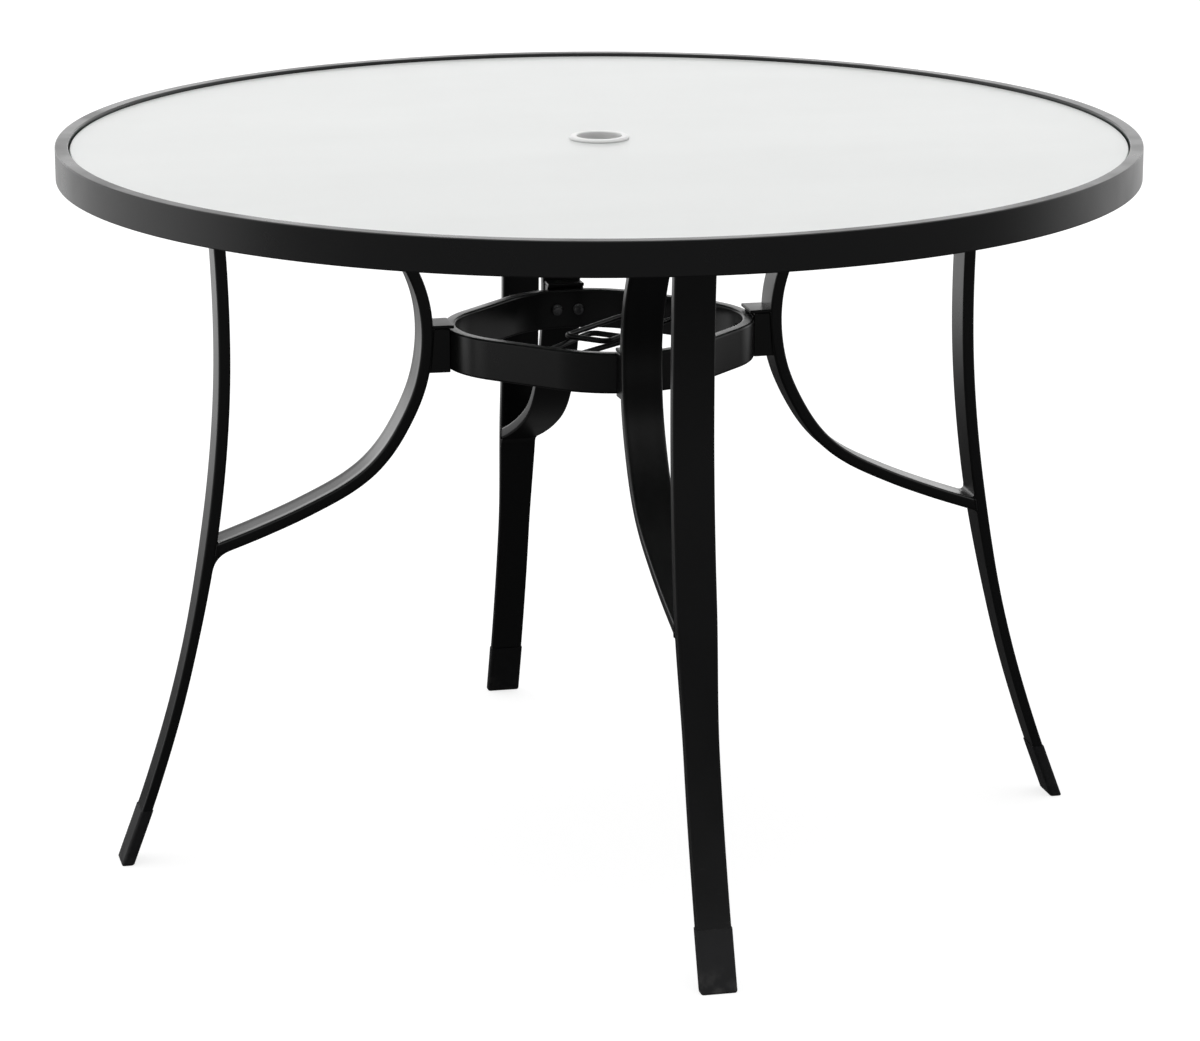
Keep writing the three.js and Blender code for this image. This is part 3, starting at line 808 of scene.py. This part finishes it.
# What the camera sees of the floor: its own glow, and the grey that takes the shadow
FLOOR_GLOW = 0.78
FLOOR_GREY = (0.42, 0.42, 0.42, 1)

# What the table sees of the floor: the middle of the dim patch, and the least brightness there
DIM_PLACE = (0.5, 0, 0)
DIM_LEVEL = 0.045

# The back of the studio: how much brighter its wall is, and how much darker the band above
WALL_LEVEL = 0.75
BAND_LEVEL = 0.4


class TABLE_OT_stage(bpy.types.Operator):
    """Adds the camera, the pale floor and the soft studio light"""

    bl_idname = "umbrella_table.stage"
    bl_label = "Stage"

    def execute(self, context):
        self.add_camera(context.scene)
        self.add_floor(context.scene)
        self.light_world(context.scene)
        self.add_lamp(context.scene)
        context.scene.view_settings.view_transform = "Standard"
        return {"FINISHED"}

    def add_camera(self, scene):
        stage = scene.table_stage
        camera = bpy.data.cameras.new("camera")
        camera.sensor_fit = "HORIZONTAL"
        camera.sensor_width = SENSOR_MILLIMETRES
        camera.lens = stage.lens
        camera.shift_x = stage.shift
        camera.clip_end = FAR_CLIP
        held = bpy.data.objects.new("camera", camera)
        held.location = (
            -stage.distance * sin(stage.turn),
            -stage.distance * cos(stage.turn),
            stage.height,
        )
        held.rotation_euler = (stage.tilt, 0, stage.pan)
        scene.collection.objects.link(held)
        scene.camera = held

    def add_floor(self, scene):
        bm = bmesh.new()
        round_face(bm, scene.table_stage.floor_radius, FLOOR_SIDES)
        mesh = bpy.data.meshes.new("floor")
        bm.to_mesh(mesh)
        bm.free()
        mesh.materials.append(self.make_floor_material())
        ground = bpy.data.objects.new("floor", mesh)
        scene.collection.objects.link(ground)

    def make_floor_material(self):
        """White to the camera, with a soft shadow. The table sees it dim near by and in front"""
        material = bpy.data.materials.new("Pale floor")
        nodes = Nodes(material)
        place = nodes.place()
        distance = nodes.add(
            "ShaderNodeVectorMath", {"operation": "DISTANCE"}, {0: place, 1: DIM_PLACE}, "Value"
        )
        behind = nodes.limits(nodes.part(place, "Y"), -1.4, 1, 0.12, 0.8)
        level = DIM_LEVEL + nodes.limits(distance, 1.4, 3.1) * behind
        dim = nodes.add("ShaderNodeEmission", {}, {"Color": WHITE, "Strength": level})
        faint = nodes.add("ShaderNodeBsdfDiffuse", {}, {"Color": FLOOR_GREY})
        glow = nodes.add("ShaderNodeEmission", {}, {"Color": WHITE, "Strength": FLOOR_GLOW})
        white = nodes.add("ShaderNodeAddShader", {}, {0: faint, 1: glow})
        camera = nodes.add("ShaderNodeLightPath", output="Is Camera Ray")
        mixed = nodes.add("ShaderNodeMixShader", {}, {0: camera, 1: dim, 2: white})
        nodes.add("ShaderNodeOutputMaterial", {}, {"Surface": mixed})
        return material

    def light_world(self, scene):
        """A white studio, darker at the front, where the camera stands, and banded at the back"""
        world = bpy.data.worlds.new("studio")
        scene.world = world
        nodes = Nodes(world)
        direction = nodes.add("ShaderNodeTexCoord", output="Generated")
        behind = nodes.part(direction, "Y")
        upwards = nodes.part(direction, "Z")
        open_side = nodes.limits(behind + upwards * 2, -0.5, 0.7, 0.05, 0.97)
        wall = nodes.limits(behind, 0.55, 0.97) * nodes.limits(upwards, 0.27, 0.18) * WALL_LEVEL
        band = nodes.limits(upwards, 0.2, 0.26) * nodes.limits(upwards, 0.7, 0.45)
        level = open_side + wall - band * nodes.limits(behind, 0.4, 0.9) * BAND_LEVEL
        camera = nodes.add("ShaderNodeLightPath", output="Is Camera Ray")
        strength = camera + (1 - camera) * level
        shader = nodes.add("ShaderNodeBackground", {}, {"Color": WHITE, "Strength": strength})
        nodes.add("ShaderNodeOutputWorld", {}, {"Surface": shader})

    def add_lamp(self, scene):
        stage = scene.table_stage
        lamp = bpy.data.lights.new("soft lamp", "AREA")
        lamp.shape = "DISK"
        lamp.size = stage.lamp_size
        lamp.energy = stage.lamp_power
        held = bpy.data.objects.new("soft lamp", lamp)
        held.location = LAMP_PLACE
        held.rotation_euler = (LAMP_AIM - LAMP_PLACE).to_track_quat("-Z", "Y").to_euler()
        scene.collection.objects.link(held)


# Top

class TABLE_OT_rim(bpy.types.Operator):
    """Adds the rolled rim and the ledge ring under the glass"""

    bl_idname = "umbrella_table.rim"
    bl_label = "Rim"

    def execute(self, context):
        sizes = context.scene.table_top
        low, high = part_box("table_rim")
        outside = high.x
        wall = sizes.rim_wall
        edge = sizes.rim_edge
        inside = outside - sizes.lip_width
        fold = wall * 0.6
        cut_edge = wall / 3
        ledge_fold = wall / 4
        band = turn_outline([
            (outside, low.z, edge),
            (outside, high.z, edge),
            (inside, high.z, edge),
            (inside, high.z - wall),
            (outside - wall, high.z - wall, fold),
            (outside - wall, low.z + wall, fold),
            (outside - sizes.rim_return, low.z + wall, cut_edge),
            (outside - sizes.rim_return, low.z, cut_edge),
        ], sizes.turns)
        add_piece(band, "rim_band", "Powder coat", ["table_rim"])

        low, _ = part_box("glass_ledge")
        ledge_inside = self.ledge_inside()
        ledge = turn_outline([
            (inside + wall, low.z, fold),
            (inside + wall, high.z - wall),
            (inside, high.z - wall),
            (inside, low.z + wall, ledge_fold),
            (ledge_inside, low.z + wall, cut_edge),
            (ledge_inside, low.z, cut_edge),
        ], sizes.turns)
        add_piece(ledge, "ledge_angle", "Powder coat", ["glass_ledge"])
        return {"FINISHED"}

    def ledge_inside(self):
        """The ledge's inner radius, from its packed mesh"""
        mesh = frame["nodes"]["glass_ledge"].data
        return min(vertex.co.xy.length for vertex in mesh.vertices)


class TABLE_OT_glass(bpy.types.Operator):
    """Adds the pane of frosted glass with its hole"""

    bl_idname = "umbrella_table.glass"
    bl_label = "Glass"

    def execute(self, context):
        sizes = context.scene.table_top
        low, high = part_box("glass_top")
        hole = sizes.glass_hole / 2
        edge = sizes.glass_edge
        pane = turn_outline([
            (high.x, low.z, edge),
            (high.x, high.z, edge),
            (hole, high.z, edge),
            (hole, low.z, edge),
        ], sizes.turns)
        add_piece(pane, "glass_pane", "Frosted glass", ["glass_top"], sharp=60)
        return {"FINISHED"}


class TABLE_OT_ring(bpy.types.Operator):
    """Adds the white ring that lines the umbrella hole"""

    bl_idname = "umbrella_table.ring"
    bl_label = "Umbrella Ring"

    def execute(self, context):
        sizes = context.scene.table_top
        low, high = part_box("umbrella_ring")
        glass_low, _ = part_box("glass_top")
        collar = sizes.glass_hole / 2 - sizes.collar_gap
        bore = collar - sizes.collar_wall
        snap_top = low.z + sizes.snap_height
        flange_bottom = high.z - sizes.flange_height
        snap = collar + (glass_low.z - low.z) / 2
        edge = sizes.flange_edge
        dome = edge * 2
        crisp = edge / 4
        ring = turn_outline([
            (bore, low.z, edge / 2),
            (collar, low.z, crisp),
            (snap, snap_top, crisp),
            (collar, snap_top),
            (collar, flange_bottom),
            (high.x, flange_bottom, crisp),
            (high.x, high.z, dome),
            (bore, high.z, edge),
        ], sizes.ring_turns, edge_steps=6)
        add_piece(ring, "hole_ring", "White plastic", ["umbrella_ring"], sharp=60)
        return {"FINISHED"}


# Hoop and rods

# A rod's end lies in the hoop's wall, and the bead round it on the wall's inner face
ROD_SUNK = MILLIMETRE / 2
ROD_BEAD_PLACE = MILLIMETRE * 0.9

# That bead: its size as a share of a small bead's, its lift off the rod as a share of its size
ROD_BEAD_SHARE = 0.8
ROD_BEAD_LIFT = 0.3
ROD_BEAD_STEPS = 24
ROD_BEAD_SIDES = 8
ROD_RIPPLE_HEIGHT = 0.12
ROD_RIPPLE_STEPS = 3


class TABLE_OT_hoop(bpy.types.Operator):
    """Adds the hoop of flat tube, a square with large round corners"""

    bl_idname = "umbrella_table.hoop"
    bl_label = "Hoop"

    def execute(self, context):
        sizes = context.scene.table_hoop
        low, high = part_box("hoop")
        middle = (low.z + high.z) / 2
        half = hoop_half_width(context.scene) - tube_depth() / 2
        corner = sizes.corner - tube_depth() / 2
        square = [(half, -half), (half, half), (-half, half), (-half, -half)]
        turn = Matrix.Translation((0, 0, middle)) @ Matrix.Rotation(pi / 4, 4, "Z")
        route = [turn @ place for place in rounded_route(square, [corner] * 4, sizes.corner_steps)]
        bm = bmesh.new()
        face = tube_face(bm, high.z - low.z, tube_depth())
        close_ring(bm, sweep(bm, face, stations_round(route, UP)))
        add_piece(bm, "square_hoop", "Powder coat", ["hoop"])
        return {"FINISHED"}


def hoop_half_width(scene):
    """Half the hoop's width over its flat sides, from the reach of its corners"""
    corner = scene.table_hoop.corner
    return (hoop_reach() - corner) / sqrt(2) + corner


class TABLE_OT_rods(bpy.types.Operator):
    """Adds the two bent rods that guide the umbrella pole, and the beads at their ends"""

    bl_idname = "umbrella_table.rods"
    bl_label = "Guide Rods"

    def execute(self, context):
        scene = context.scene
        sizes = scene.table_hoop
        diagonal = pi / 4
        self.add_rod(scene, "upper_guide_rod", "umbrella_loop_upper", sizes.loop_width, diagonal)
        self.add_rod(scene, "lower_guide_rod", "umbrella_loop_lower", sizes.loop_rear, diagonal + pi)
        return {"FINISHED"}

    def add_rod(self, scene, name, node, open_width, turn):
        sizes = scene.table_hoop
        low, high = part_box(node)
        past = hoop_half_width(scene) - tube_depth() + ROD_SUNK
        closed = sizes.loop_width / 2
        half = open_width / 2
        corners = [(past, -half), (past, half), (-closed, closed), (-closed, -closed)]
        route = rounded_route(corners, [0, 0, sizes.loop_bend, sizes.loop_bend], sizes.bend_steps)
        route = open_route(route, Vector((past, half, 0)), Vector((past, -half, 0)))
        place = Matrix.Translation((0, 0, (low.z + high.z) / 2)) @ Matrix.Rotation(turn, 4, "Z")
        line = [place @ point for point in route]

        bm = bmesh.new()
        sweep(bm, round_face(bm, sizes.rod / 2, sizes.rod_sides), stations_along(line, UP))
        add_piece(bm, name, "Powder coat", [node])

        beads = bmesh.new()
        radius = scene.table_fasteners.bead * ROD_BEAD_SHARE
        lifted = sizes.rod / 2 + radius * ROD_BEAD_LIFT
        for end, inner in ((line[0], line[1]), (line[-1], line[-2])):
            along = (inner - end).normalized()
            ring = ring_round(end + along * ROD_BEAD_PLACE, along, lifted, ROD_BEAD_STEPS)
            add_closed_bead(beads, ring, along, radius)
        add_piece(beads, f"{name}_welds", "Coated weld")


def open_route(route, start, end):
    """A closed route opened between two of its points"""
    nearest = min(range(len(route)), key=lambda index: (route[index] - start).length)
    route = route[nearest:] + route[:nearest]
    if (route[1] - end).length < TOUCHING:
        route = [route[0], *reversed(route[1:])]
    return route


def ring_round(centre, axis, radius, steps):
    across = axis.orthogonal().normalized()
    return [
        centre + Matrix.Rotation(tau * step / steps, 3, axis) @ across * radius for step in range(steps)
    ]


def add_closed_bead(bm, ring, axis, radius):
    rippled = []
    for index, station in enumerate(stations_round(ring, axis)[:-1]):
        wave = 1 - ROD_RIPPLE_HEIGHT * (index % ROD_RIPPLE_STEPS) / (ROD_RIPPLE_STEPS - 1)
        size = radius * wave
        rippled.append(station @ Matrix.Diagonal((size, size, 1, 1)))
    rippled.append(rippled[0])
    close_ring(bm, sweep(bm, round_face(bm, 1, ROD_BEAD_SIDES), rippled))


# Welds

RIPPLE_STEPS = 4
LEAST_BEAD_STEPS = 8
BEAD_SIDES = 12

# A run counts as upright where its cosine with Z is past this
UPRIGHT = 0.9

# The square of the share to which a bead draws in at its ends
LEAST_END = 0.06

# How deep a fillet's corner lies in the metal, how many times deeper its root lies, and how far
# its hollow is pulled into the corner
FILLET_SUNK = MILLIMETRE / 4
FILLET_ROOT = 4
FILLET_HOLLOW = 0.6
FILLET_STEPS = 12

# The rises over which the ways along the leg and the brace are taken
LEG_RISE = 6 * MILLIMETRE
BRACE_RISE = 3 * MILLIMETRE


def join(bm, added):
    """Adds one bmesh to another"""
    mesh = bpy.data.meshes.new("joined")
    added.to_mesh(mesh)
    added.free()
    bm.from_mesh(mesh)
    bpy.data.meshes.remove(mesh)


def add_bead(bm, start, end, radius, scene):
    """A straight weld bead whose ripples lie like fallen coins, with drawn-in ends"""
    sizes = scene.table_fasteners
    run = end - start
    steps = max(LEAST_BEAD_STEPS, round(run.length / sizes.ripple * RIPPLE_STEPS))
    line = [start + run * step / steps for step in range(steps + 1)]
    across = UP if abs(UP.dot(run.normalized())) < UPRIGHT else OUTWARDS
    stations = []
    for index, station in enumerate(stations_along(line, across)):
        way = index / steps
        from_end = min(way, 1 - way) * run.length / radius
        drawn_in = sqrt(max(LEAST_END, 1 - max(0, 1 - from_end) ** 2))
        wave = 1 - sizes.ripple_height * (index % RIPPLE_STEPS) / (RIPPLE_STEPS - 1)
        size = radius * drawn_in * wave
        stations.append(station @ Matrix.Diagonal((size, size, 1, 1)))
    bead = bmesh.new()
    sweep(bead, round_face(bead, 1, BEAD_SIDES), stations)
    join(bm, bead)


def add_fillet(bm, corner, one_way, other_way, reach, half_width):
    """A smooth hollow weld in a corner, which runs out on both faces"""
    inwards = -(one_way + other_way).normalized() * FILLET_SUNK
    corner = corner + inwards
    start = corner + one_way * reach
    end = corner + other_way * reach
    pull = reach * FILLET_HOLLOW
    hollow = interpolate_bezier(
        start, start - one_way * pull, end - other_way * pull, end, FILLET_STEPS
    )
    outline = [corner + inwards * FILLET_ROOT, *hollow]
    weld = bmesh.new()
    face = weld.faces.new([weld.verts.new(place - SIDEWAYS * half_width) for place in outline])
    grow_face(weld, face, Matrix.Translation(2 * SIDEWAYS * half_width))
    join(bm, weld)


# Legs, braces and what they carry

class TABLE_OT_legs(bpy.types.Operator):
    """Adds the four bent legs and their plastic foot caps"""

    bl_idname = "umbrella_table.legs"
    bl_label = "Legs and Foot Caps"

    def execute(self, context):
        leg = bmesh.new()
        bent_tube(leg, leg_line())
        cut_level(leg, (0, 0, leg_height()), UP)
        cut_level(leg, (0, 0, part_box("leg_right")[0].z), -UP)
        add_on_sides(leg, "{side}_leg", "Powder coat", ["leg_{side}"])

        add_on_sides(self.make_cap(context.scene), "{side}_shoe", "Black plastic", ["foot_cap_{side}"])
        return {"FINISHED"}

    def make_cap(self, scene):
        sizes = scene.table_tube
        low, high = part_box("foot_cap_right")
        line_top = 2 * high.z
        clear_of_sole = 3 * sizes.cap_edge
        line = [
            place for place in leg_line()
            if place.z < line_top
            and abs(place.z - low.z) > clear_of_sole
            and abs(place.z - high.z) > sizes.cap_mouth
        ]
        cap = bmesh.new()
        bent_tube(cap, line, sizes.cap_gap + sizes.cap_wall)
        top = cut_level(cap, (0, 0, high.z), UP)
        sole = cut_level(cap, (0, 0, low.z), -UP)
        sink_face(cap, top, sizes.cap_wall, sizes.cap_mouth)
        round_edges(cap, list(sole.edges), sizes.cap_edge, 4)
        sole = min(cap.faces, key=lambda face: face.calc_center_median().z)
        sink_face(cap, sole, sizes.sole_border, sizes.sole_depth)
        return cap


class TABLE_OT_braces(bpy.types.Operator):
    """Adds the four curved braces, cut to the inner faces of the legs"""

    bl_idname = "umbrella_table.braces"
    bl_label = "Braces"

    def execute(self, context):
        brace = bmesh.new()
        bent_tube(brace, brace_line(), dished=True)
        cut_level(brace, (0, 0, leg_height()), UP)
        place, inwards = self.leg_face()
        cut_level(brace, place, -inwards)
        add_on_sides(brace, "{side}_brace", "Powder coat", ["brace_{side}"])
        return {"FINISHED"}

    def leg_face(self):
        """A place just under the leg's inner face at the brace's foot, and the way inwards there"""
        foot = BRACE_FOOT_SHARE * leg_height()
        middle = foot * 1.02
        sunk = MILLIMETRE / 5
        stations = stations_along(leg_line(), SIDEWAYS, taper)
        nearest = min(stations, key=lambda station: abs(station.translation.z - middle))
        inwards = -nearest.col[0].xyz.normalized()
        return nearest.translation + inwards * (tube_depth() / 2 - sunk), inwards


class TABLE_OT_brackets(bpy.types.Operator):
    """Adds the four brackets between the hoop's corners and the braces"""

    bl_idname = "umbrella_table.brackets"
    bl_label = "Brackets"

    def execute(self, context):
        sizes = context.scene.table_hoop
        low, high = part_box("hoop_bracket_right")
        flange_bottom = high.z - sizes.bracket_flange
        at_hoop = sizes.bracket_hoop_width / 2
        at_brace = sizes.bracket_brace_width / 2
        bracket = bmesh.new()
        self.add_block(bracket, sizes, low.z, flange_bottom - low.z, at_hoop, at_brace)
        outline = [
            (low.x, -at_hoop), (hoop_reach(), -at_hoop), (neck_radius(), -at_brace),
            (neck_radius(), at_brace), (hoop_reach(), at_hoop), (low.x, at_hoop),
        ]
        self.add_flange(bracket, outline, flange_bottom, sizes.bracket_flange)
        round_edges(bracket, sharp_edges(bracket), sizes.bracket_edge)
        add_on_sides(bracket, "{side}_bracket", "Powder coat", ["hoop_bracket_{side}"])
        return {"FINISHED"}

    def add_block(self, bm, sizes, bottom, height, at_hoop, at_brace):
        """A block whose inner face follows the hoop's corner"""
        gap = MILLIMETRE / 10
        arc_steps = 14
        centre = Vector((hoop_reach() - sizes.corner, 0, bottom))
        radius = sizes.corner + gap
        half_angle = asin(at_hoop / radius)
        start = bm.verts.new(centre + Vector((radius * cos(half_angle), -at_hoop, 0)))
        bmesh.ops.spin(
            bm, geom=[start], cent=centre, axis=UP, dvec=(0, 0, 0), angle=2 * half_angle,
            steps=arc_steps, use_merge=False, use_duplicate=False,
        )
        grown = only(BMVert, bmesh.ops.extrude_edge_only(bm, edges=bm.edges[:])["geom"])
        neck = Matrix.Translation((-neck_radius(), 0, 0))
        bmesh.ops.scale(bm, vec=(0, at_brace / at_hoop, 1), space=neck, verts=grown)
        raised = bmesh.ops.extrude_face_region(bm, geom=bm.faces[:])["geom"]
        bmesh.ops.translate(bm, vec=UP * height, verts=only(BMVert, raised))

    def add_flange(self, bm, outline, bottom, thickness):
        face = bm.faces.new([bm.verts.new((x, y, bottom)) for x, y in outline])
        grow_face(bm, face, Matrix.Translation(UP * thickness))


class TABLE_OT_rails(bpy.types.Operator):
    """Adds the four rails under the glass and the soft pads on them"""

    bl_idname = "umbrella_table.rails"
    bl_label = "Rails and Pads"

    def execute(self, context):
        tube = context.scene.table_tube
        low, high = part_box("top_rail_right")
        middle = (low.z + high.z) / 2
        line = [Vector((x, 0, middle)) for x in (low.x, (low.x + high.x) / 2, high.x)]
        rail = bmesh.new()
        face = tube_face(rail, tube_width(), tube_depth())
        start, end = sweep(rail, face, stations_along(line, SIDEWAYS))
        sink_face(rail, end, tube.wall, tube.rail_depth)
        round_edges(rail, list(start.edges), tube.wall / 2, 2)
        add_on_sides(rail, "{side}_rail", "Powder coat", ["top_rail_{side}"])

        for number in (1, 2):
            add_on_sides(
                self.make_pad(context.scene, number), "{side}_soft_pad_" + str(number), "Soft vinyl",
                [f"glass_bumper_{{side}}_{number}"],
            )
        return {"FINISHED"}

    def make_pad(self, scene, number):
        sizes = scene.table_fasteners
        low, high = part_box(f"glass_bumper_right_{number}")
        radius = (high.x - low.x) / 2
        pad = turn_outline([
            (0, low.z), (radius, low.z, sizes.pad_edge), (radius, high.z, sizes.pad_edge), (0, high.z),
        ], sizes.turns)
        bmesh.ops.translate(pad, vec=((low.x + high.x) / 2, 0, 0), verts=pad.verts[:])
        return pad


class TABLE_OT_bolts(bpy.types.Operator):
    """Adds the domed bolts through the hoop's corners and under the rails"""

    bl_idname = "umbrella_table.bolts"
    bl_label = "Bolts"

    def execute(self, context):
        sizes = context.scene.table_fasteners
        for number in (1, 2):
            low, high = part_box(f"rim_bolt_right_{number}")
            under_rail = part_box("top_rail_right")[0].z
            washer = under_rail - low.z - sizes.head_height
            bolt = self.make_bolt(sizes, low.z, high.z, (high.x - low.x) / 2, washer)
            place = ((low.x + high.x) / 2, (low.y + high.y) / 2, 0)
            bmesh.ops.translate(bolt, vec=place, verts=bolt.verts[:])
            add_on_sides(
                bolt, "{side}_rail_bolt_" + str(number), "Black steel", [f"rim_bolt_{{side}}_{number}"]
            )
            add_on_sides(
                self.make_hoop_bolt(context.scene, number), "{side}_hoop_screw_" + str(number),
                "Black steel", [f"hoop_bolt_{{side}}_{number}"],
            )
        return {"FINISHED"}

    def make_bolt(self, sizes, bottom, top, head_radius, washer):
        """A bolt along Z, its domed head down, with a thin washer under its head"""
        seat = bottom + sizes.head_height
        washer_radius = head_radius * 0.96
        shank_end_edge = sizes.shank / 10
        bolt = turn_outline([
            (0, bottom),
            (head_radius, bottom, sizes.head_height - sizes.head_rim),
            (head_radius, seat),
            (washer_radius, seat),
            (washer_radius, seat + washer),
            (sizes.shank / 2, seat + washer),
            (sizes.shank / 2, top, shank_end_edge),
            (0, top),
        ], sizes.turns, edge_steps=8)
        return bolt

    def make_hoop_bolt(self, scene, number):
        """The bolt laid along the radius of the hoop's corner, with its head inside the hoop"""
        sizes = scene.table_fasteners
        hoop = scene.table_hoop
        inner_radius = hoop.corner - tube_depth()
        fan = asin(sizes.hoop_bolt_spacing / 2 / inner_radius) * (-1 if number == 1 else 1)
        low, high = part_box(f"hoop_bolt_right_{number}")
        middle = (low.z + high.z) / 2
        head_radius = (high.z - low.z) / 2
        centre = hoop_reach() - hoop.corner
        start = (low.x - centre + head_radius * sin(abs(fan))) / cos(fan)
        end = start + (high.x - low.x) / cos(fan) - head_radius * sin(abs(fan))
        bolt = self.make_bolt(sizes, start, end, head_radius, sizes.washer)
        lay_down = Matrix.Rotation(pi / 2, 4, "Y")
        place = Matrix.Translation((centre, 0, middle)) @ Matrix.Rotation(fan, 4, "Z") @ lay_down
        bmesh.ops.transform(bolt, matrix=place, verts=bolt.verts[:])
        return bolt


class TABLE_OT_welds(bpy.types.Operator):
    """Adds the weld beads at the feet, necks and tops of the braces and at the tops of the legs"""

    bl_idname = "umbrella_table.welds"
    bl_label = "Welds"

    def execute(self, context):
        scene = context.scene
        sizes = scene.table_fasteners
        leg_inner = face_line(leg_line(), -1)
        leg_outer = face_line(leg_line(), 1)
        brace_upper = face_line(brace_line(), 1)
        brace_lower = face_line(brace_line(), -1)
        above = crossing(leg_inner, brace_upper)
        below = crossing(leg_inner, brace_lower)

        beads = bmesh.new()
        slim = sizes.bead * 0.7
        sunk = sizes.bead / 3
        for hand in (-1, 1):
            across = SIDEWAYS * hand * (tube_width() / 2 - sunk)
            add_bead(beads, above + across, below + across, slim, scene)
        half = SIDEWAYS * (tube_width() / 2 - scene.table_tube.edge)
        for tube in (leg_inner, leg_outer, brace_lower, brace_upper):
            top = Vector((radius_at(tube, leg_height() - MILLIMETRE), 0, leg_height()))
            add_bead(beads, top - half, top + half, sizes.bead, scene)
        self.add_neck_beads(beads, scene)
        add_on_sides(beads, "{side}_weld_beads", "Coated weld")

        reaches = {
            "front": (sizes.small_fillet, sizes.middle_fillet),
            "right": (sizes.middle_fillet, sizes.small_fillet),
            "back": (sizes.small_fillet, sizes.middle_fillet),
            "left": (sizes.small_fillet, sizes.large_fillet),
        }
        half = tube_width() / 2 - scene.table_tube.edge / 2
        for side, (upper, lower) in reaches.items():
            fillets = bmesh.new()
            for corner, brace, rise, reach in (
                (above, brace_upper, LEG_RISE, upper),
                (below, brace_lower, -LEG_RISE, lower),
            ):
                up_leg = way_along(leg_inner, corner, rise)
                out_brace = way_along(brace, corner, BRACE_RISE)
                add_fillet(fillets, corner, up_leg, out_brace, reach, half)
            add_on_sides(fillets, "{side}_joint_welds", "Coated weld", sides=[side])
        return {"FINISHED"}

    def add_neck_beads(self, bm, scene):
        """Upright beads where a bracket meets its brace"""
        sizes = scene.table_fasteners
        low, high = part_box("hoop_bracket_right")
        brace_inner = face_line(brace_line(), -1)
        half = scene.table_hoop.bracket_brace_width / 2
        for hand in (-1, 1):
            ends = [
                Vector((radius_at(brace_inner, height), hand * half, height))
                for height in (low.z + sizes.bead, high.z - sizes.bead)
            ]
            add_bead(bm, *ends, sizes.bead, scene)


OPERATORS = (
    TABLE_OT_stage,
    TABLE_OT_rim,
    TABLE_OT_glass,
    TABLE_OT_ring,
    TABLE_OT_hoop,
    TABLE_OT_rods,
    TABLE_OT_legs,
    TABLE_OT_braces,
    TABLE_OT_brackets,
    TABLE_OT_rails,
    TABLE_OT_bolts,
    TABLE_OT_welds,
)


class TABLE_PT_panel(bpy.types.Panel):
    """Lists the table's sizes and the buttons that add its pieces"""

    bl_idname = "TABLE_PT_panel"
    bl_label = "Umbrella Table"
    bl_space_type = "VIEW_3D"
    bl_region_type = "UI"
    bl_category = "Table"

    def draw(self, context):
        for name, group in GROUPS.items():
            box = self.layout.box()
            box.label(text=group.__doc__)
            settings = getattr(context.scene, name)
            for key in group.__annotations__:
                box.prop(settings, key)
        for operator in OPERATORS:
            self.layout.operator(operator.bl_idname)


CLASSES = (*GROUPS.values(), *OPERATORS, TABLE_PT_panel)


def register():
    for each in CLASSES:
        bpy.utils.register_class(each)
    for name, group in GROUPS.items():
        setattr(bpy.types.Scene, name, PointerProperty(type=group))


def unregister():
    for name in GROUPS:
        delattr(bpy.types.Scene, name)
    for each in reversed(CLASSES):
        bpy.utils.unregister_class(each)


def main():
    register()
    bpy.ops.umbrella_table.stage()
    bpy.ops.umbrella_table.rim()
    bpy.ops.umbrella_table.glass()
    bpy.ops.umbrella_table.ring()
    bpy.ops.umbrella_table.hoop()
    bpy.ops.umbrella_table.rods()
    bpy.ops.umbrella_table.legs()
    bpy.ops.umbrella_table.braces()
    bpy.ops.umbrella_table.brackets()
    bpy.ops.umbrella_table.rails()
    bpy.ops.umbrella_table.bolts()
    bpy.ops.umbrella_table.welds()


if __name__ == "__main__":
    main()
